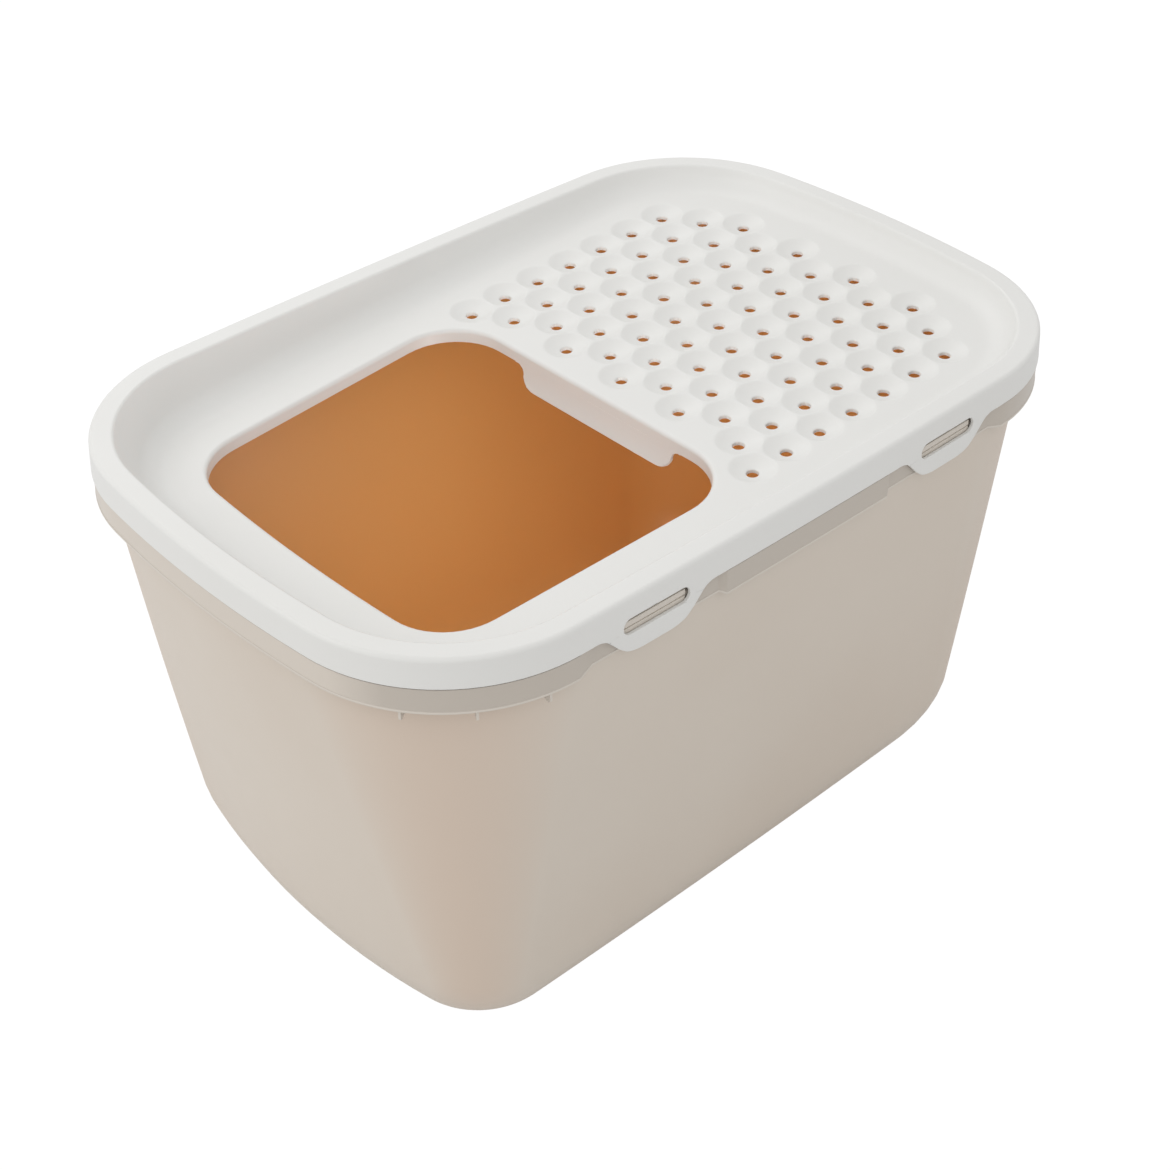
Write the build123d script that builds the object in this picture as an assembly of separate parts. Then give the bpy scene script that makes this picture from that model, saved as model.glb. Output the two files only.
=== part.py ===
from build123d import *
import math
import os

# A top entry litter box: a deep tub and a snap-fit lid. The lid's deck slopes down to the entry opening and is
# perforated at the other end, so that litter falls off the paws and back into the tub.
# Millimetres. The origin is at the centre of the base, +Z is up, +X is along the length towards the perforated
# end and the front is towards -Y.

# Overall sizes
LENGTH = 585.0
WIDTH = 390.0
HEIGHT = 375.0

# Plan outline of the lid: four corner arcs joined by bowed ends and sides
CORNER_RADIUS = 110.0
END_BOW = 21.5
SIDE_BOW = 5.0

# Lid rim and skirt
LID_WALL = 2.5
SKIRT_WALL = 2.3
SKIRT_DEPTH = 19.5
SKIRT_DRAFT = 1.2
RIM_WIDTH = 18.0
RIM_OUTER_ROUND = 5.0
RIM_INNER_ROUND = 3.0

# Recessed deck of the lid
DECK_DEPTH = 24.8
DECK_SLOPE = 0.0424
PAN_WALL_SLOPE = 0.5
PAN_COVE = 20.0
PAN_REACH = 70.0

# Entry opening, with its rolled edge. Margins are measured in from the lid's ends and sides.
ENTRY_BACK_X = 8.0
ENTRY_FRONT_MARGIN = 74.5
ENTRY_FRONT_BOW = 5.5
ENTRY_BACK_SIDE_MARGIN = 62.0
ENTRY_FRONT_SIDE_MARGIN = 72.5
ENTRY_CORNER = 41.0
ROLL_RADIUS = 7.0
LIP_DEPTH = 9.0
COLLAR_WIDTH = 13.0
COLLAR_LAP = 1.0

# Apron that hangs under the deck side of the opening
APRON_HALF_WIDTH = 67.0
APRON_DEPTH = 24.5
APRON_CURVE = 42.0
APRON_CORNER = 12.0
APRON_LAP = 2.0

# Perforated dishes of the deck, in a hexagonal pattern that stays clear of the rim and of the opening
HOLE_PITCH = 30.0
HOLE_RADIUS = 3.5
HOLE_START = 11.5
HOLE_RIM_MARGIN = 55.0
HOLE_ENTRY_MARGIN = 15.0
DISH_LAND = 1.6
DISH_DEPTH = 3.4

# Snap tabs, cut out of the skirt and carried below it
TAB_END_MARGIN = 168.5
TAB_HALF_WIDTH = 25.0
TAB_SHOULDER = 22.0
TAB_DROP = 17.5
TAB_ROOT = 7.5
TAB_WAIST = 8.0
SLOT_HALF_LENGTH = 25.0
SLOT_HEIGHT = 6.6

# Tub
TUB_WALL = 2.5
TUB_RIM_INSET = 4.8
TUB_CORNER_EASE = 14.0
END_LEAN = 7.9
SIDE_LEAN = 7.0
FOOT_CORNER = 51.0
FOOT_END_BOW = 23.0
FOOT_SIDE_BOW = 3.0
BASE_ROUND = 99.0
BASE_CORNER = 60.0
BASE_BOW_SHARE = 0.5
BASE_CORNER_LIMIT = 0.95
BASE_STEPS = 8

# Flange round the tub's rim, with its downturned skirt
FLANGE_DEPTH = 34.0
FLANGE_WALL = 2.4
LID_CLEARANCE = 1.1
TAB_CLEARANCE = 0.9

# Gusset ribs under the flange at the corners, and catch ribs behind the slots
GUSSET_ANGLES = (12.0, 33.0, 54.0, 75.0)
GUSSET_THICKNESS = 1.6
GUSSET_REACH = 24.0
GUSSET_DROP = 7.0
CATCH_HALF_LENGTH = 22.5
CATCH_THICKNESS = 1.7
CATCH_SPACING = 3.4
CATCH_REACH = 12.0

# Running gap between pieces that separate, and how far cutting solids pass beyond what they cut
GAP = 0.3
EPS = 1.0

HALF_LENGTH = LENGTH / 2
HALF_WIDTH = WIDTH / 2
SKIRT_BOTTOM = HEIGHT - SKIRT_DEPTH
DECK_ANGLE = math.degrees(math.atan(DECK_SLOPE))
ENTRY_FRONT_X = ENTRY_FRONT_MARGIN - HALF_LENGTH
TAB_CENTRE_X = HALF_LENGTH - TAB_END_MARGIN
TABS = {
    "snap_tab_front_left": (-TAB_CENTRE_X, -1),
    "snap_tab_front_right": (TAB_CENTRE_X, -1),
    "snap_tab_rear_left": (-TAB_CENTRE_X, 1),
    "snap_tab_rear_right": (TAB_CENTRE_X, 1),
}
TAB_TOP = SKIRT_BOTTOM + TAB_ROOT
TAB_FOOT = SKIRT_BOTTOM - TAB_DROP
TUB_TOP = HEIGHT - LID_WALL - GAP
FLANGE_BOTTOM = HEIGHT - FLANGE_DEPTH
FLANGE_TOP_INSET = SKIRT_WALL + SKIRT_DRAFT + LID_CLEARANCE
FLANGE_BOTTOM_INSET = SKIRT_WALL + TAB_CLEARANCE
RIM_OUTLINE = (HALF_LENGTH, HALF_WIDTH, END_BOW, SIDE_BOW, CORNER_RADIUS)
WALL_OUTLINE = (HALF_LENGTH - TUB_RIM_INSET, HALF_WIDTH - TUB_RIM_INSET, END_BOW, SIDE_BOW,
                CORNER_RADIUS + TUB_CORNER_EASE)
# The base round takes over from the leaning wall where both are in line.
WALL_LEAN = math.radians((END_LEAN + SIDE_LEAN) / 2)
FOOT_HEIGHT = BASE_ROUND * (1 - math.sin(WALL_LEAN))
FOOT_HALF_LENGTH = WALL_OUTLINE[0] - (FLANGE_BOTTOM - FOOT_HEIGHT) * math.tan(math.radians(END_LEAN))
FOOT_HALF_WIDTH = WALL_OUTLINE[1] - (FLANGE_BOTTOM - FOOT_HEIGHT) * math.tan(math.radians(SIDE_LEAN))


def deck_height(x):
    """Height of the deck's upper face at x."""
    return HEIGHT - DECK_DEPTH + DECK_SLOPE * x


def arc_about(centre, radius, start, end):
    """The shorter arc of a circle from one of its points to another."""
    middle = (start + end) / 2 - centre
    return ThreePointArc(start, centre + middle.normalized() * radius, end)


def outline_centres(half_length, half_width, end_bow, side_bow, corner):
    """Centres and radii of the end arc, the side arc and the corner arc in the first quadrant."""
    end_radius = (half_width**2 + end_bow**2) / (2 * end_bow)
    side_radius = (half_length**2 + side_bow**2) / (2 * side_bow)
    end_centre = Vector(half_length - end_radius, 0)
    side_centre = Vector(0, half_width - side_radius)
    # The corner's centre lies where circles about the two other centres cross.
    reach_end = end_radius - corner
    reach_side = side_radius - corner
    between = side_centre - end_centre
    span = between.length
    along = (reach_end**2 - reach_side**2 + span**2) / (2 * span)
    across = math.sqrt(reach_end**2 - along**2)
    unit = between / span
    corner_centre = end_centre + unit * along + Vector(-unit.Y, unit.X) * across
    return end_centre, end_radius, side_centre, side_radius, corner_centre


def bowed_face(outline, inset=0.0, height=0.0):
    """Flat face inside a bowed outline, drawn in by an even inset."""
    end_centre, end_radius, side_centre, side_radius, corner_centre = outline_centres(*outline)
    corner = outline[4] - inset
    end_unit = (corner_centre - end_centre).normalized()
    side_unit = (corner_centre - side_centre).normalized()
    end_point = end_centre + end_unit * (end_radius - inset)
    side_point = side_centre + side_unit * (side_radius - inset)
    quadrants = [(1, 1), (-1, 1), (-1, -1), (1, -1)]
    edges = []
    for index, (sx, sy) in enumerate(quadrants):
        def place(point):
            return Vector(point.X * sx, point.Y * sy)

        nx, ny = quadrants[(index + 1) % 4]
        first, last = (end_point, side_point) if sx == sy else (side_point, end_point)
        edges.append(arc_about(place(corner_centre), corner, place(first), place(last)))
        following = Vector(last.X * nx, last.Y * ny)
        if sx == sy:
            edges.append(arc_about(place(side_centre), side_radius - inset, place(last), following))
        else:
            edges.append(arc_about(place(end_centre), end_radius - inset, place(last), following))
    return Pos(0, 0, height) * Face(Wire(edges))


def bowed_prism(outline, bottom, top, bottom_inset=0.0, top_inset=None):
    """Solid between two insets of one outline, straight or drafted."""
    if top_inset is None or top_inset == bottom_inset:
        return extrude(bowed_face(outline, bottom_inset, bottom), amount=top - bottom, dir=(0, 0, 1))
    return loft([bowed_face(outline, bottom_inset, bottom), bowed_face(outline, top_inset, top)], ruled=True)


def deck_slab(top, bottom):
    """Slab parallel to the deck, between two offsets from the deck's upper face."""
    size = LENGTH * 2
    slab = Box(size, size, top - bottom, align=(Align.CENTER, Align.CENTER, Align.MIN))
    return Pos(0, 0, deck_height(0)) * Rot(0, -DECK_ANGLE, 0) * Pos(0, 0, bottom) * slab


def pan_prism(grow, top):
    """Drafted prism of the deck's recess up to a height, grown outwards by a wall thickness."""
    bottom = HEIGHT - PAN_REACH
    inset = RIM_WIDTH - grow
    top_inset = inset + PAN_WALL_SLOPE * (HEIGHT - top)
    return bowed_prism(RIM_OUTLINE, bottom, top, inset + PAN_WALL_SLOPE * PAN_REACH, top_inset)


def pan(grow, top):
    """The deck's recess as a solid: sloping floor, drafted walls and a cove between them."""
    body = pan_prism(grow, top) & deck_slab(PAN_REACH, -grow)
    floor = body.faces().sort_by(Axis.Z)[0]
    return fillet(floor.edges(), cove_radius() + grow)


def cove_radius():
    """Radius between the deck and its walls, limited by the wall's height at the shallow end."""
    shallow = HEIGHT - deck_height(HALF_LENGTH - RIM_WIDTH) - RIM_INNER_ROUND / 2
    wall_angle = math.atan(PAN_WALL_SLOPE)
    rise = math.tan(math.pi / 4 - wall_angle / 2) * math.cos(wall_angle)
    return min(PAN_COVE, shallow / rise)


def entry_face(grow=0.0):
    """Plan of the entry opening: bowed at the low end and wider at the deck end."""
    back_half = HALF_WIDTH - ENTRY_BACK_SIDE_MARGIN
    front_half = HALF_WIDTH - ENTRY_FRONT_SIDE_MARGIN
    back_top = Vector(ENTRY_BACK_X, back_half)
    back_bottom = Vector(ENTRY_BACK_X, -back_half)
    front_bottom = Vector(ENTRY_FRONT_X, -front_half)
    front_top = Vector(ENTRY_FRONT_X, front_half)
    front_middle = Vector(ENTRY_FRONT_X - ENTRY_FRONT_BOW, 0)
    edges = [
        Line(front_top, back_top),
        Line(back_top, back_bottom),
        Line(back_bottom, front_bottom),
        ThreePointArc(front_bottom, front_middle, front_top),
    ]
    face = Face(Wire(edges))
    face = fillet(face.vertices(), ENTRY_CORNER)
    return offset(face, amount=grow, kind=Kind.ARC) if grow else face


def upright(face, bottom=HEIGHT - 2 * PAN_REACH, top=HEIGHT + EPS):
    """Prism on a plan face between two heights."""
    return extrude(Pos(0, 0, bottom) * face, amount=top - bottom, dir=(0, 0, 1))


def entry_collar():
    """Deck strip around the opening with its rolled edge and lip."""
    strip = upright(entry_face(COLLAR_WIDTH)) & deck_slab(0, -LID_WALL)
    lip = upright(entry_face(LID_WALL)) & deck_slab(-LID_WALL / 2, -LIP_DEPTH)
    collar = strip + lip - upright(entry_face())
    inner_round = ROLL_RADIUS - LID_WALL
    under = [e for e in collar.edges() if is_on_entry(e, LID_WALL, -LID_WALL)]
    collar = fillet(under, inner_round)
    over = [e for e in collar.edges() if is_on_entry(e, 0.0, 0.0)]
    return fillet(over, ROLL_RADIUS)


def is_on_entry(edge, grow, offset_from_deck, tolerance=0.2):
    """True for an edge that follows the opening's outline at one offset from the deck's upper face."""
    point = edge.position_at(0.5)
    height = deck_height(point.X) + offset_from_deck
    if abs(point.Z - height) > tolerance:
        return False
    return entry_face(grow).wire().distance_to(Vector(point.X, point.Y, 0)) < tolerance


def apron():
    """Curved plate under the deck side of the opening, its foot swept towards the opening."""
    top = deck_height(ENTRY_BACK_X) - LIP_DEPTH + APRON_LAP
    bottom = deck_height(ENTRY_BACK_X) - APRON_DEPTH
    drop = top - bottom
    sweep_angle = math.asin(drop / APRON_CURVE)
    centre = Vector(ENTRY_BACK_X - APRON_CURVE, 0, top)

    def on_curve(radius, angle):
        return Vector(centre.X + radius * math.cos(angle), 0, centre.Z - radius * math.sin(angle))

    inner, outer = APRON_CURVE, APRON_CURVE + LID_WALL
    edges = [
        ThreePointArc(on_curve(inner, 0), on_curve(inner, sweep_angle / 2), on_curve(inner, sweep_angle)),
        Line(on_curve(inner, sweep_angle), on_curve(outer, sweep_angle)),
        ThreePointArc(on_curve(outer, sweep_angle), on_curve(outer, sweep_angle / 2), on_curve(outer, 0)),
        Line(on_curve(outer, 0), on_curve(inner, 0)),
    ]
    plate = extrude(Face(Wire(edges)), amount=APRON_HALF_WIDTH, dir=(0, 1, 0), both=True)
    thickness_edges = plate.edges().filter_by(lambda edge: math.isclose(edge.length, LID_WALL, rel_tol=0.01))
    foot = thickness_edges.group_by(Axis.Z)[0]
    return fillet(foot, APRON_CORNER)


def hole_places():
    """Hole centres in plan, row by row, on the part of the deck that is clear of its walls and the opening."""
    deck = bowed_face(RIM_OUTLINE, HOLE_RIM_MARGIN)
    entry = entry_face(HOLE_ENTRY_MARGIN)
    row_gap = HOLE_PITCH * math.sqrt(3) / 2
    rows = int(HALF_WIDTH / row_gap)
    columns = int(LENGTH / HOLE_PITCH)
    places = []
    for row in range(-rows, rows + 1):
        start = ENTRY_BACK_X + HOLE_START + (HOLE_PITCH / 2 if row % 2 == 0 else 0.0)
        for column in range(columns):
            place = Vector(start + column * HOLE_PITCH, row * row_gap, 0)
            if deck.is_inside(place) and not entry.is_inside(place):
                places.append(place)
    return places


def dishes(places, grow):
    """Spheres that sink the dishes, grown by a wall thickness for the underside."""
    dish_radius = (HOLE_PITCH - DISH_LAND) / 2
    radius = (dish_radius**2 + DISH_DEPTH**2) / (2 * DISH_DEPTH)
    ball = Sphere(radius + grow)
    return [Pos(place.X, place.Y, deck_height(place.X) + radius - DISH_DEPTH) * ball for place in places]


def dishes_under(places):
    """Domes under the dishes, trimmed to the part below the deck's plate."""
    keep = deck_slab(-LID_WALL / 2, -LID_WALL - DISH_DEPTH - EPS)
    return [ball & keep for ball in dishes(places, LID_WALL)]


def drills(places):
    """Cylinders that pierce the dishes."""
    depth = 2 * (LID_WALL + DISH_DEPTH + EPS)
    return [Pos(place.X, place.Y, deck_height(place.X)) * Cylinder(HOLE_RADIUS, depth) for place in places]


def tab_plan(gap=0.0):
    """Front view of a tab in the XZ plane, from its hinge line down to its foot, with S-curved shoulders."""
    top = TAB_TOP - gap
    shoulder = TAB_HALF_WIDTH + TAB_SHOULDER - gap
    waist = (TAB_HALF_WIDTH + TAB_WAIST, 0, (SKIRT_BOTTOM + TAB_FOOT) / 2)
    level = (-1, 0, 0)
    side = Line((shoulder, 0, top), (shoulder, 0, SKIRT_BOTTOM))
    side += Spline([(shoulder, 0, SKIRT_BOTTOM), waist, (TAB_HALF_WIDTH, 0, TAB_FOOT)], tangents=[level, level])
    outline = side + mirror(side, about=Plane.YZ)
    outline += Line((-shoulder, 0, top), (shoulder, 0, top))
    outline += Line((-TAB_HALF_WIDTH, 0, TAB_FOOT), (TAB_HALF_WIDTH, 0, TAB_FOOT))
    return make_face(outline.edges())


def slot_plan():
    """Front view of a tab's slot: a stadium level with the bottom of the skirt."""
    slot = Plane.XZ * SlotOverall(2 * SLOT_HALF_LENGTH, SLOT_HEIGHT)
    return Pos(0, 0, SKIRT_BOTTOM) * slot


def through_side(face, x, side):
    """Prism along Y through one long side, from a front view at x."""
    inner = HALF_WIDTH - 3 * SKIRT_WALL
    prism = extrude(face, amount=HALF_WIDTH, dir=(0, 1, 0))
    shift = inner if side > 0 else -inner - HALF_WIDTH
    return Pos(x, shift, 0) * prism


def skirt_ring():
    """Skirt carried down to the tabs' feet, from which the tabs are cut."""
    lower = bowed_prism(RIM_OUTLINE, TAB_FOOT, SKIRT_BOTTOM)
    lower = lower - bowed_prism(RIM_OUTLINE, TAB_FOOT, SKIRT_BOTTOM, SKIRT_WALL)
    return rim_ring() - rim_channel() + lower


def rim_ring():
    """Rim and skirt as one thick ring, its upper edges rounded."""
    block = bowed_prism(RIM_OUTLINE, SKIRT_BOTTOM, HEIGHT, 0.0, SKIRT_DRAFT)
    ring = block - pan_prism(0.0, HEIGHT + EPS)
    top = ring.faces().sort_by(Axis.Z)[-1]
    ring = fillet(top.outer_wire().edges(), RIM_OUTER_ROUND)
    top = ring.faces().sort_by(Axis.Z)[-1]
    return fillet(top.inner_wires()[0].edges(), RIM_INNER_ROUND)


def rim_channel():
    """Hollow under the rim and inside the skirt."""
    top = HEIGHT - LID_WALL
    top_inset = SKIRT_WALL + SKIRT_DRAFT * (top - SKIRT_BOTTOM) / SKIRT_DEPTH
    return bowed_prism(RIM_OUTLINE, SKIRT_BOTTOM, top, SKIRT_WALL, top_inset)


def snap_tab(ring, x, side):
    """One tab, cut from the skirt ring and slotted."""
    tab = ring & through_side(tab_plan(GAP), x, side)
    return tab - through_side(slot_plan(), x, side)


def lid():
    """Rim, skirt, recessed deck, rolled entry opening, apron and perforated dishes."""
    places = hole_places()
    body = rim_ring() - rim_channel() + pan(LID_WALL, HEIGHT - LID_WALL + GAP) - pan(0.0, HEIGHT + EPS)
    body = body - upright(entry_face(COLLAR_WIDTH - COLLAR_LAP)) + entry_collar() + apron()
    body = body + dishes_under(places) - dishes(places, 0.0) - drills(places)
    for x, side in TABS.values():
        body = body - through_side(tab_plan(), x, side)
    return body


def base_sections(inset):
    """Plan sections of the round between the leaning wall and the flat base, from the wall downwards."""
    sections = []
    for step in range(BASE_STEPS + 1):
        angle = WALL_LEAN + (math.pi / 2 - WALL_LEAN) * step / BASE_STEPS
        share = 1 - math.cos(angle) / math.cos(WALL_LEAN)
        drawn_in = BASE_ROUND * share * math.cos(WALL_LEAN)
        half_length = FOOT_HALF_LENGTH - drawn_in
        half_width = FOOT_HALF_WIDTH - drawn_in
        corner = FOOT_CORNER + (BASE_CORNER - FOOT_CORNER) * share
        corner = min(corner, BASE_CORNER_LIMIT * half_width)
        bow_share = 1 - (1 - BASE_BOW_SHARE) * share
        outline = (half_length, half_width, FOOT_END_BOW * bow_share, FOOT_SIDE_BOW * bow_share, corner)
        height = BASE_ROUND - (BASE_ROUND - inset) * math.sin(angle)
        sections.append(bowed_face(outline, inset * math.cos(angle), height))
    return sections


def tub_body(inset, top):
    """Tub volume from the base to a height, drawn in by a wall thickness."""
    round_sections = base_sections(inset)
    wall = loft([round_sections[0], bowed_face(WALL_OUTLINE, inset, FLANGE_BOTTOM)], ruled=True)
    upper = bowed_prism(WALL_OUTLINE, FLANGE_BOTTOM, top, inset)
    return loft(round_sections) + wall + upper


def flange():
    """Rim flange with its downturned skirt."""
    top_inner = FLANGE_TOP_INSET + FLANGE_WALL
    bottom_inner = FLANGE_BOTTOM_INSET + FLANGE_WALL
    outer = bowed_prism(RIM_OUTLINE, FLANGE_BOTTOM, TUB_TOP, FLANGE_BOTTOM_INSET, FLANGE_TOP_INSET)
    hollow = bowed_prism(RIM_OUTLINE, FLANGE_BOTTOM, TUB_TOP - FLANGE_WALL, bottom_inner, top_inner)
    return outer - hollow


def gussets():
    """Thin upright ribs between the tub wall and the flange skirt, around each corner."""
    centre = outline_centres(*RIM_OUTLINE)[4]
    bottom = FLANGE_BOTTOM - GUSSET_DROP
    height = TUB_TOP - FLANGE_WALL / 2 - bottom
    tip = CORNER_RADIUS - FLANGE_BOTTOM_INSET - FLANGE_WALL / 2
    blank = Pos(tip - GUSSET_REACH / 2, 0, bottom + height / 2) * Box(GUSSET_REACH, GUSSET_THICKNESS, height)
    foot_edge = blank.edges().filter_by(Axis.Y).group_by(Axis.Z)[0].sort_by(Axis.X)[-1]
    rib = chamfer(foot_edge, GUSSET_DROP)
    ribs = []
    for sx in (-1, 1):
        for sy in (-1, 1):
            for angle in GUSSET_ANGLES:
                swing = math.radians(angle)
                turn = math.degrees(math.atan2(sy * math.cos(swing), sx * math.sin(swing)))
                ribs.append(Pos(sx * centre.X, sy * centre.Y, 0) * Rot(0, 0, turn) * rib)
    return ribs


def catch_ribs():
    """Pairs of low ribs on the flange skirt, behind the slots of the tabs."""
    skin = bowed_prism(RIM_OUTLINE, FLANGE_BOTTOM, TUB_TOP, SKIRT_WALL + GAP)
    core = bowed_prism(RIM_OUTLINE, FLANGE_BOTTOM, TUB_TOP, FLANGE_TOP_INSET + FLANGE_WALL / 2)
    bar = Box(2 * CATCH_HALF_LENGTH, CATCH_REACH, CATCH_THICKNESS)
    ribs = []
    for x, side in TABS.values():
        for step in (-0.5, 0.5):
            rib = Pos(x, side * (HALF_WIDTH - CATCH_REACH / 2), SKIRT_BOTTOM + step * CATCH_SPACING) * bar
            ribs.append(rib & (skin - core))
    return ribs


def tub():
    """Tapered tub with its flange, gusset ribs and catch ribs."""
    body = tub_body(0.0, TUB_TOP) + flange() + gussets() + catch_ribs()
    return body - tub_body(TUB_WALL, TUB_TOP + EPS)


os.makedirs("parts", exist_ok=True)
export_step(tub(), "parts/tub.step")
export_step(lid(), "parts/lid.step")
tab_ring = skirt_ring()
for tab_name, (tab_x, tab_side) in TABS.items():
    export_step(snap_tab(tab_ring, tab_x, tab_side), f"parts/{tab_name}.step")
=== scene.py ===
"""Top entry litter box: a deep tapered tub and a lid that snaps onto it with four slotted tabs.

The lid and its tabs, the tub with its rim flange, gusset ribs and catch ribs are modelled in metres in
the part's own frame, dressed in moulded plastic and set in a plain pale studio.
"""

import logging
import math
from dataclasses import dataclass, field
from enum import Enum
from typing import Callable, Iterable, Mapping, Sequence

import bmesh
import bpy
from mathutils import Matrix, Vector


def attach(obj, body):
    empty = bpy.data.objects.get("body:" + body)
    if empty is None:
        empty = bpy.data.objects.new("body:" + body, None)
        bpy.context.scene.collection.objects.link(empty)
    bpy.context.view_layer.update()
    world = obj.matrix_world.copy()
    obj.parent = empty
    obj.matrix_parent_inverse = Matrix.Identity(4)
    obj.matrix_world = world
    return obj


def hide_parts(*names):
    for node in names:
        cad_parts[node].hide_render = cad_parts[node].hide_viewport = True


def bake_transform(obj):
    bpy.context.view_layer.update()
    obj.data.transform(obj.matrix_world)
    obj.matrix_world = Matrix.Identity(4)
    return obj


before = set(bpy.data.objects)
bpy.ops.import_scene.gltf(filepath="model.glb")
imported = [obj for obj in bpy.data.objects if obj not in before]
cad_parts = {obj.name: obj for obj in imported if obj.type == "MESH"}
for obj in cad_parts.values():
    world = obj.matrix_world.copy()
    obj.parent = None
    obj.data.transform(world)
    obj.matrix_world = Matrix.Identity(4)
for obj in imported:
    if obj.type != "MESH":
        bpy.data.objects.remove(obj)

log = logging.getLogger("litter_box")

Place = tuple[float, float]
Profile = Sequence[Place]
Place3 = tuple[float, float, float]
Tone = tuple[float, float, float]
UP = Vector((0.0, 0.0, 1.0))

# How near two things count as one: in a test, in a sweep, in a ring and where the dishes meet the deck.
TOUCH = 1e-5
SEAM = 5e-5
RING_SEAM = 0.0003
FINE_SEAM = 0.00002

# The plane that a piece starts from, and the longest stretch of a side that takes a single step.
DOT = 0.001
SHORT_STRETCH = 0.012

# Angles in radians: edges that stay crisp in the shading, and edges that are bevelled.
CREASE = math.radians(32.0)
SHARP = 0.9


def angles(start: float, stop: float, steps: int) -> list[float]:
    """Even steps from one angle to another, both included."""
    return [start + (stop - start) * step / steps for step in range(steps + 1)]


class Side(Enum):
    """The long side of the box that something is on."""

    FRONT = -1
    REAR = 1


class End(Enum):
    """The end of the box that something is towards."""

    LEFT = -1
    RIGHT = 1


class Turned(Enum):
    """Which way a surface has to face to take a finish's painted light: how far round, from none of it to
    all.
    """

    TO_CORNER = (0.12, 0.50)
    TO_END = (0.86, 0.975)


@dataclass(frozen=True)
class Turn:
    """One arc of a contour, taken anticlockwise about its centre."""

    centre: Place
    radius: float
    start: float
    sweep: float
    steps: int

    def spot(self, outward: float, angle: float) -> Vector:
        """Point at an angle on the arc, moved outwards from it, at height zero."""
        reach = self.radius + outward
        x, y = self.centre
        return Vector((x + reach * math.cos(angle), y + reach * math.sin(angle), 0.0))

    def distance(self, x: float, y: float) -> float | None:
        """Distance outside the arc, where the point lies in its sector.

        Args:
            x: Place along the length.
            y: Place across the width.

        Returns:
            The signed distance, or None outside the sector.
        """
        dx, dy = x - self.centre[0], y - self.centre[1]
        swing = (math.atan2(dy, dx) - self.start) % math.tau
        if swing > self.sweep + 1e-9 and swing < math.tau - 1e-9:
            return None
        return math.hypot(dx, dy) - self.radius

    def carry(self) -> None:
        """Spins the selected profile along the arc."""
        bpy.ops.mesh.spin(steps=self.steps, angle=-self.sweep, center=(*self.centre, 0.0), axis=UP)


@dataclass(frozen=True)
class Run:
    """One straight stretch of a contour, with the inside on its left."""

    start: Place
    end: Place

    def distance(self, x: float, y: float) -> float | None:
        """Distance outside the stretch, where the point lies beside it.

        Args:
            x: Place along the length.
            y: Place across the width.

        Returns:
            The signed distance, or None beyond its ends.
        """
        ax, ay = self.end[0] - self.start[0], self.end[1] - self.start[1]
        length = math.hypot(ax, ay)
        along = ((x - self.start[0]) * ax + (y - self.start[1]) * ay) / length
        if not -1e-9 <= along <= length + 1e-9:
            return None
        return ((x - self.start[0]) * ay - (y - self.start[1]) * ax) / length

    def carry(self) -> None:
        """Extrudes the selected profile along the stretch."""
        Bench.extrude((self.end[0] - self.start[0], self.end[1] - self.start[1], 0.0))


@dataclass(frozen=True)
class Contour:
    """A closed, smooth, convex line in plan, starting on an arc."""

    parts: tuple[Turn | Run, ...]

    def distance(self, x: float, y: float) -> float:
        """Distance of a place outside the contour, negative inside."""
        found = [part.distance(x, y) for part in self.parts]
        return max(value for value in found if value is not None)

    def carry(self) -> None:
        """Takes the selected profile all the way round."""
        for part in self.parts:
            part.carry()


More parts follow.
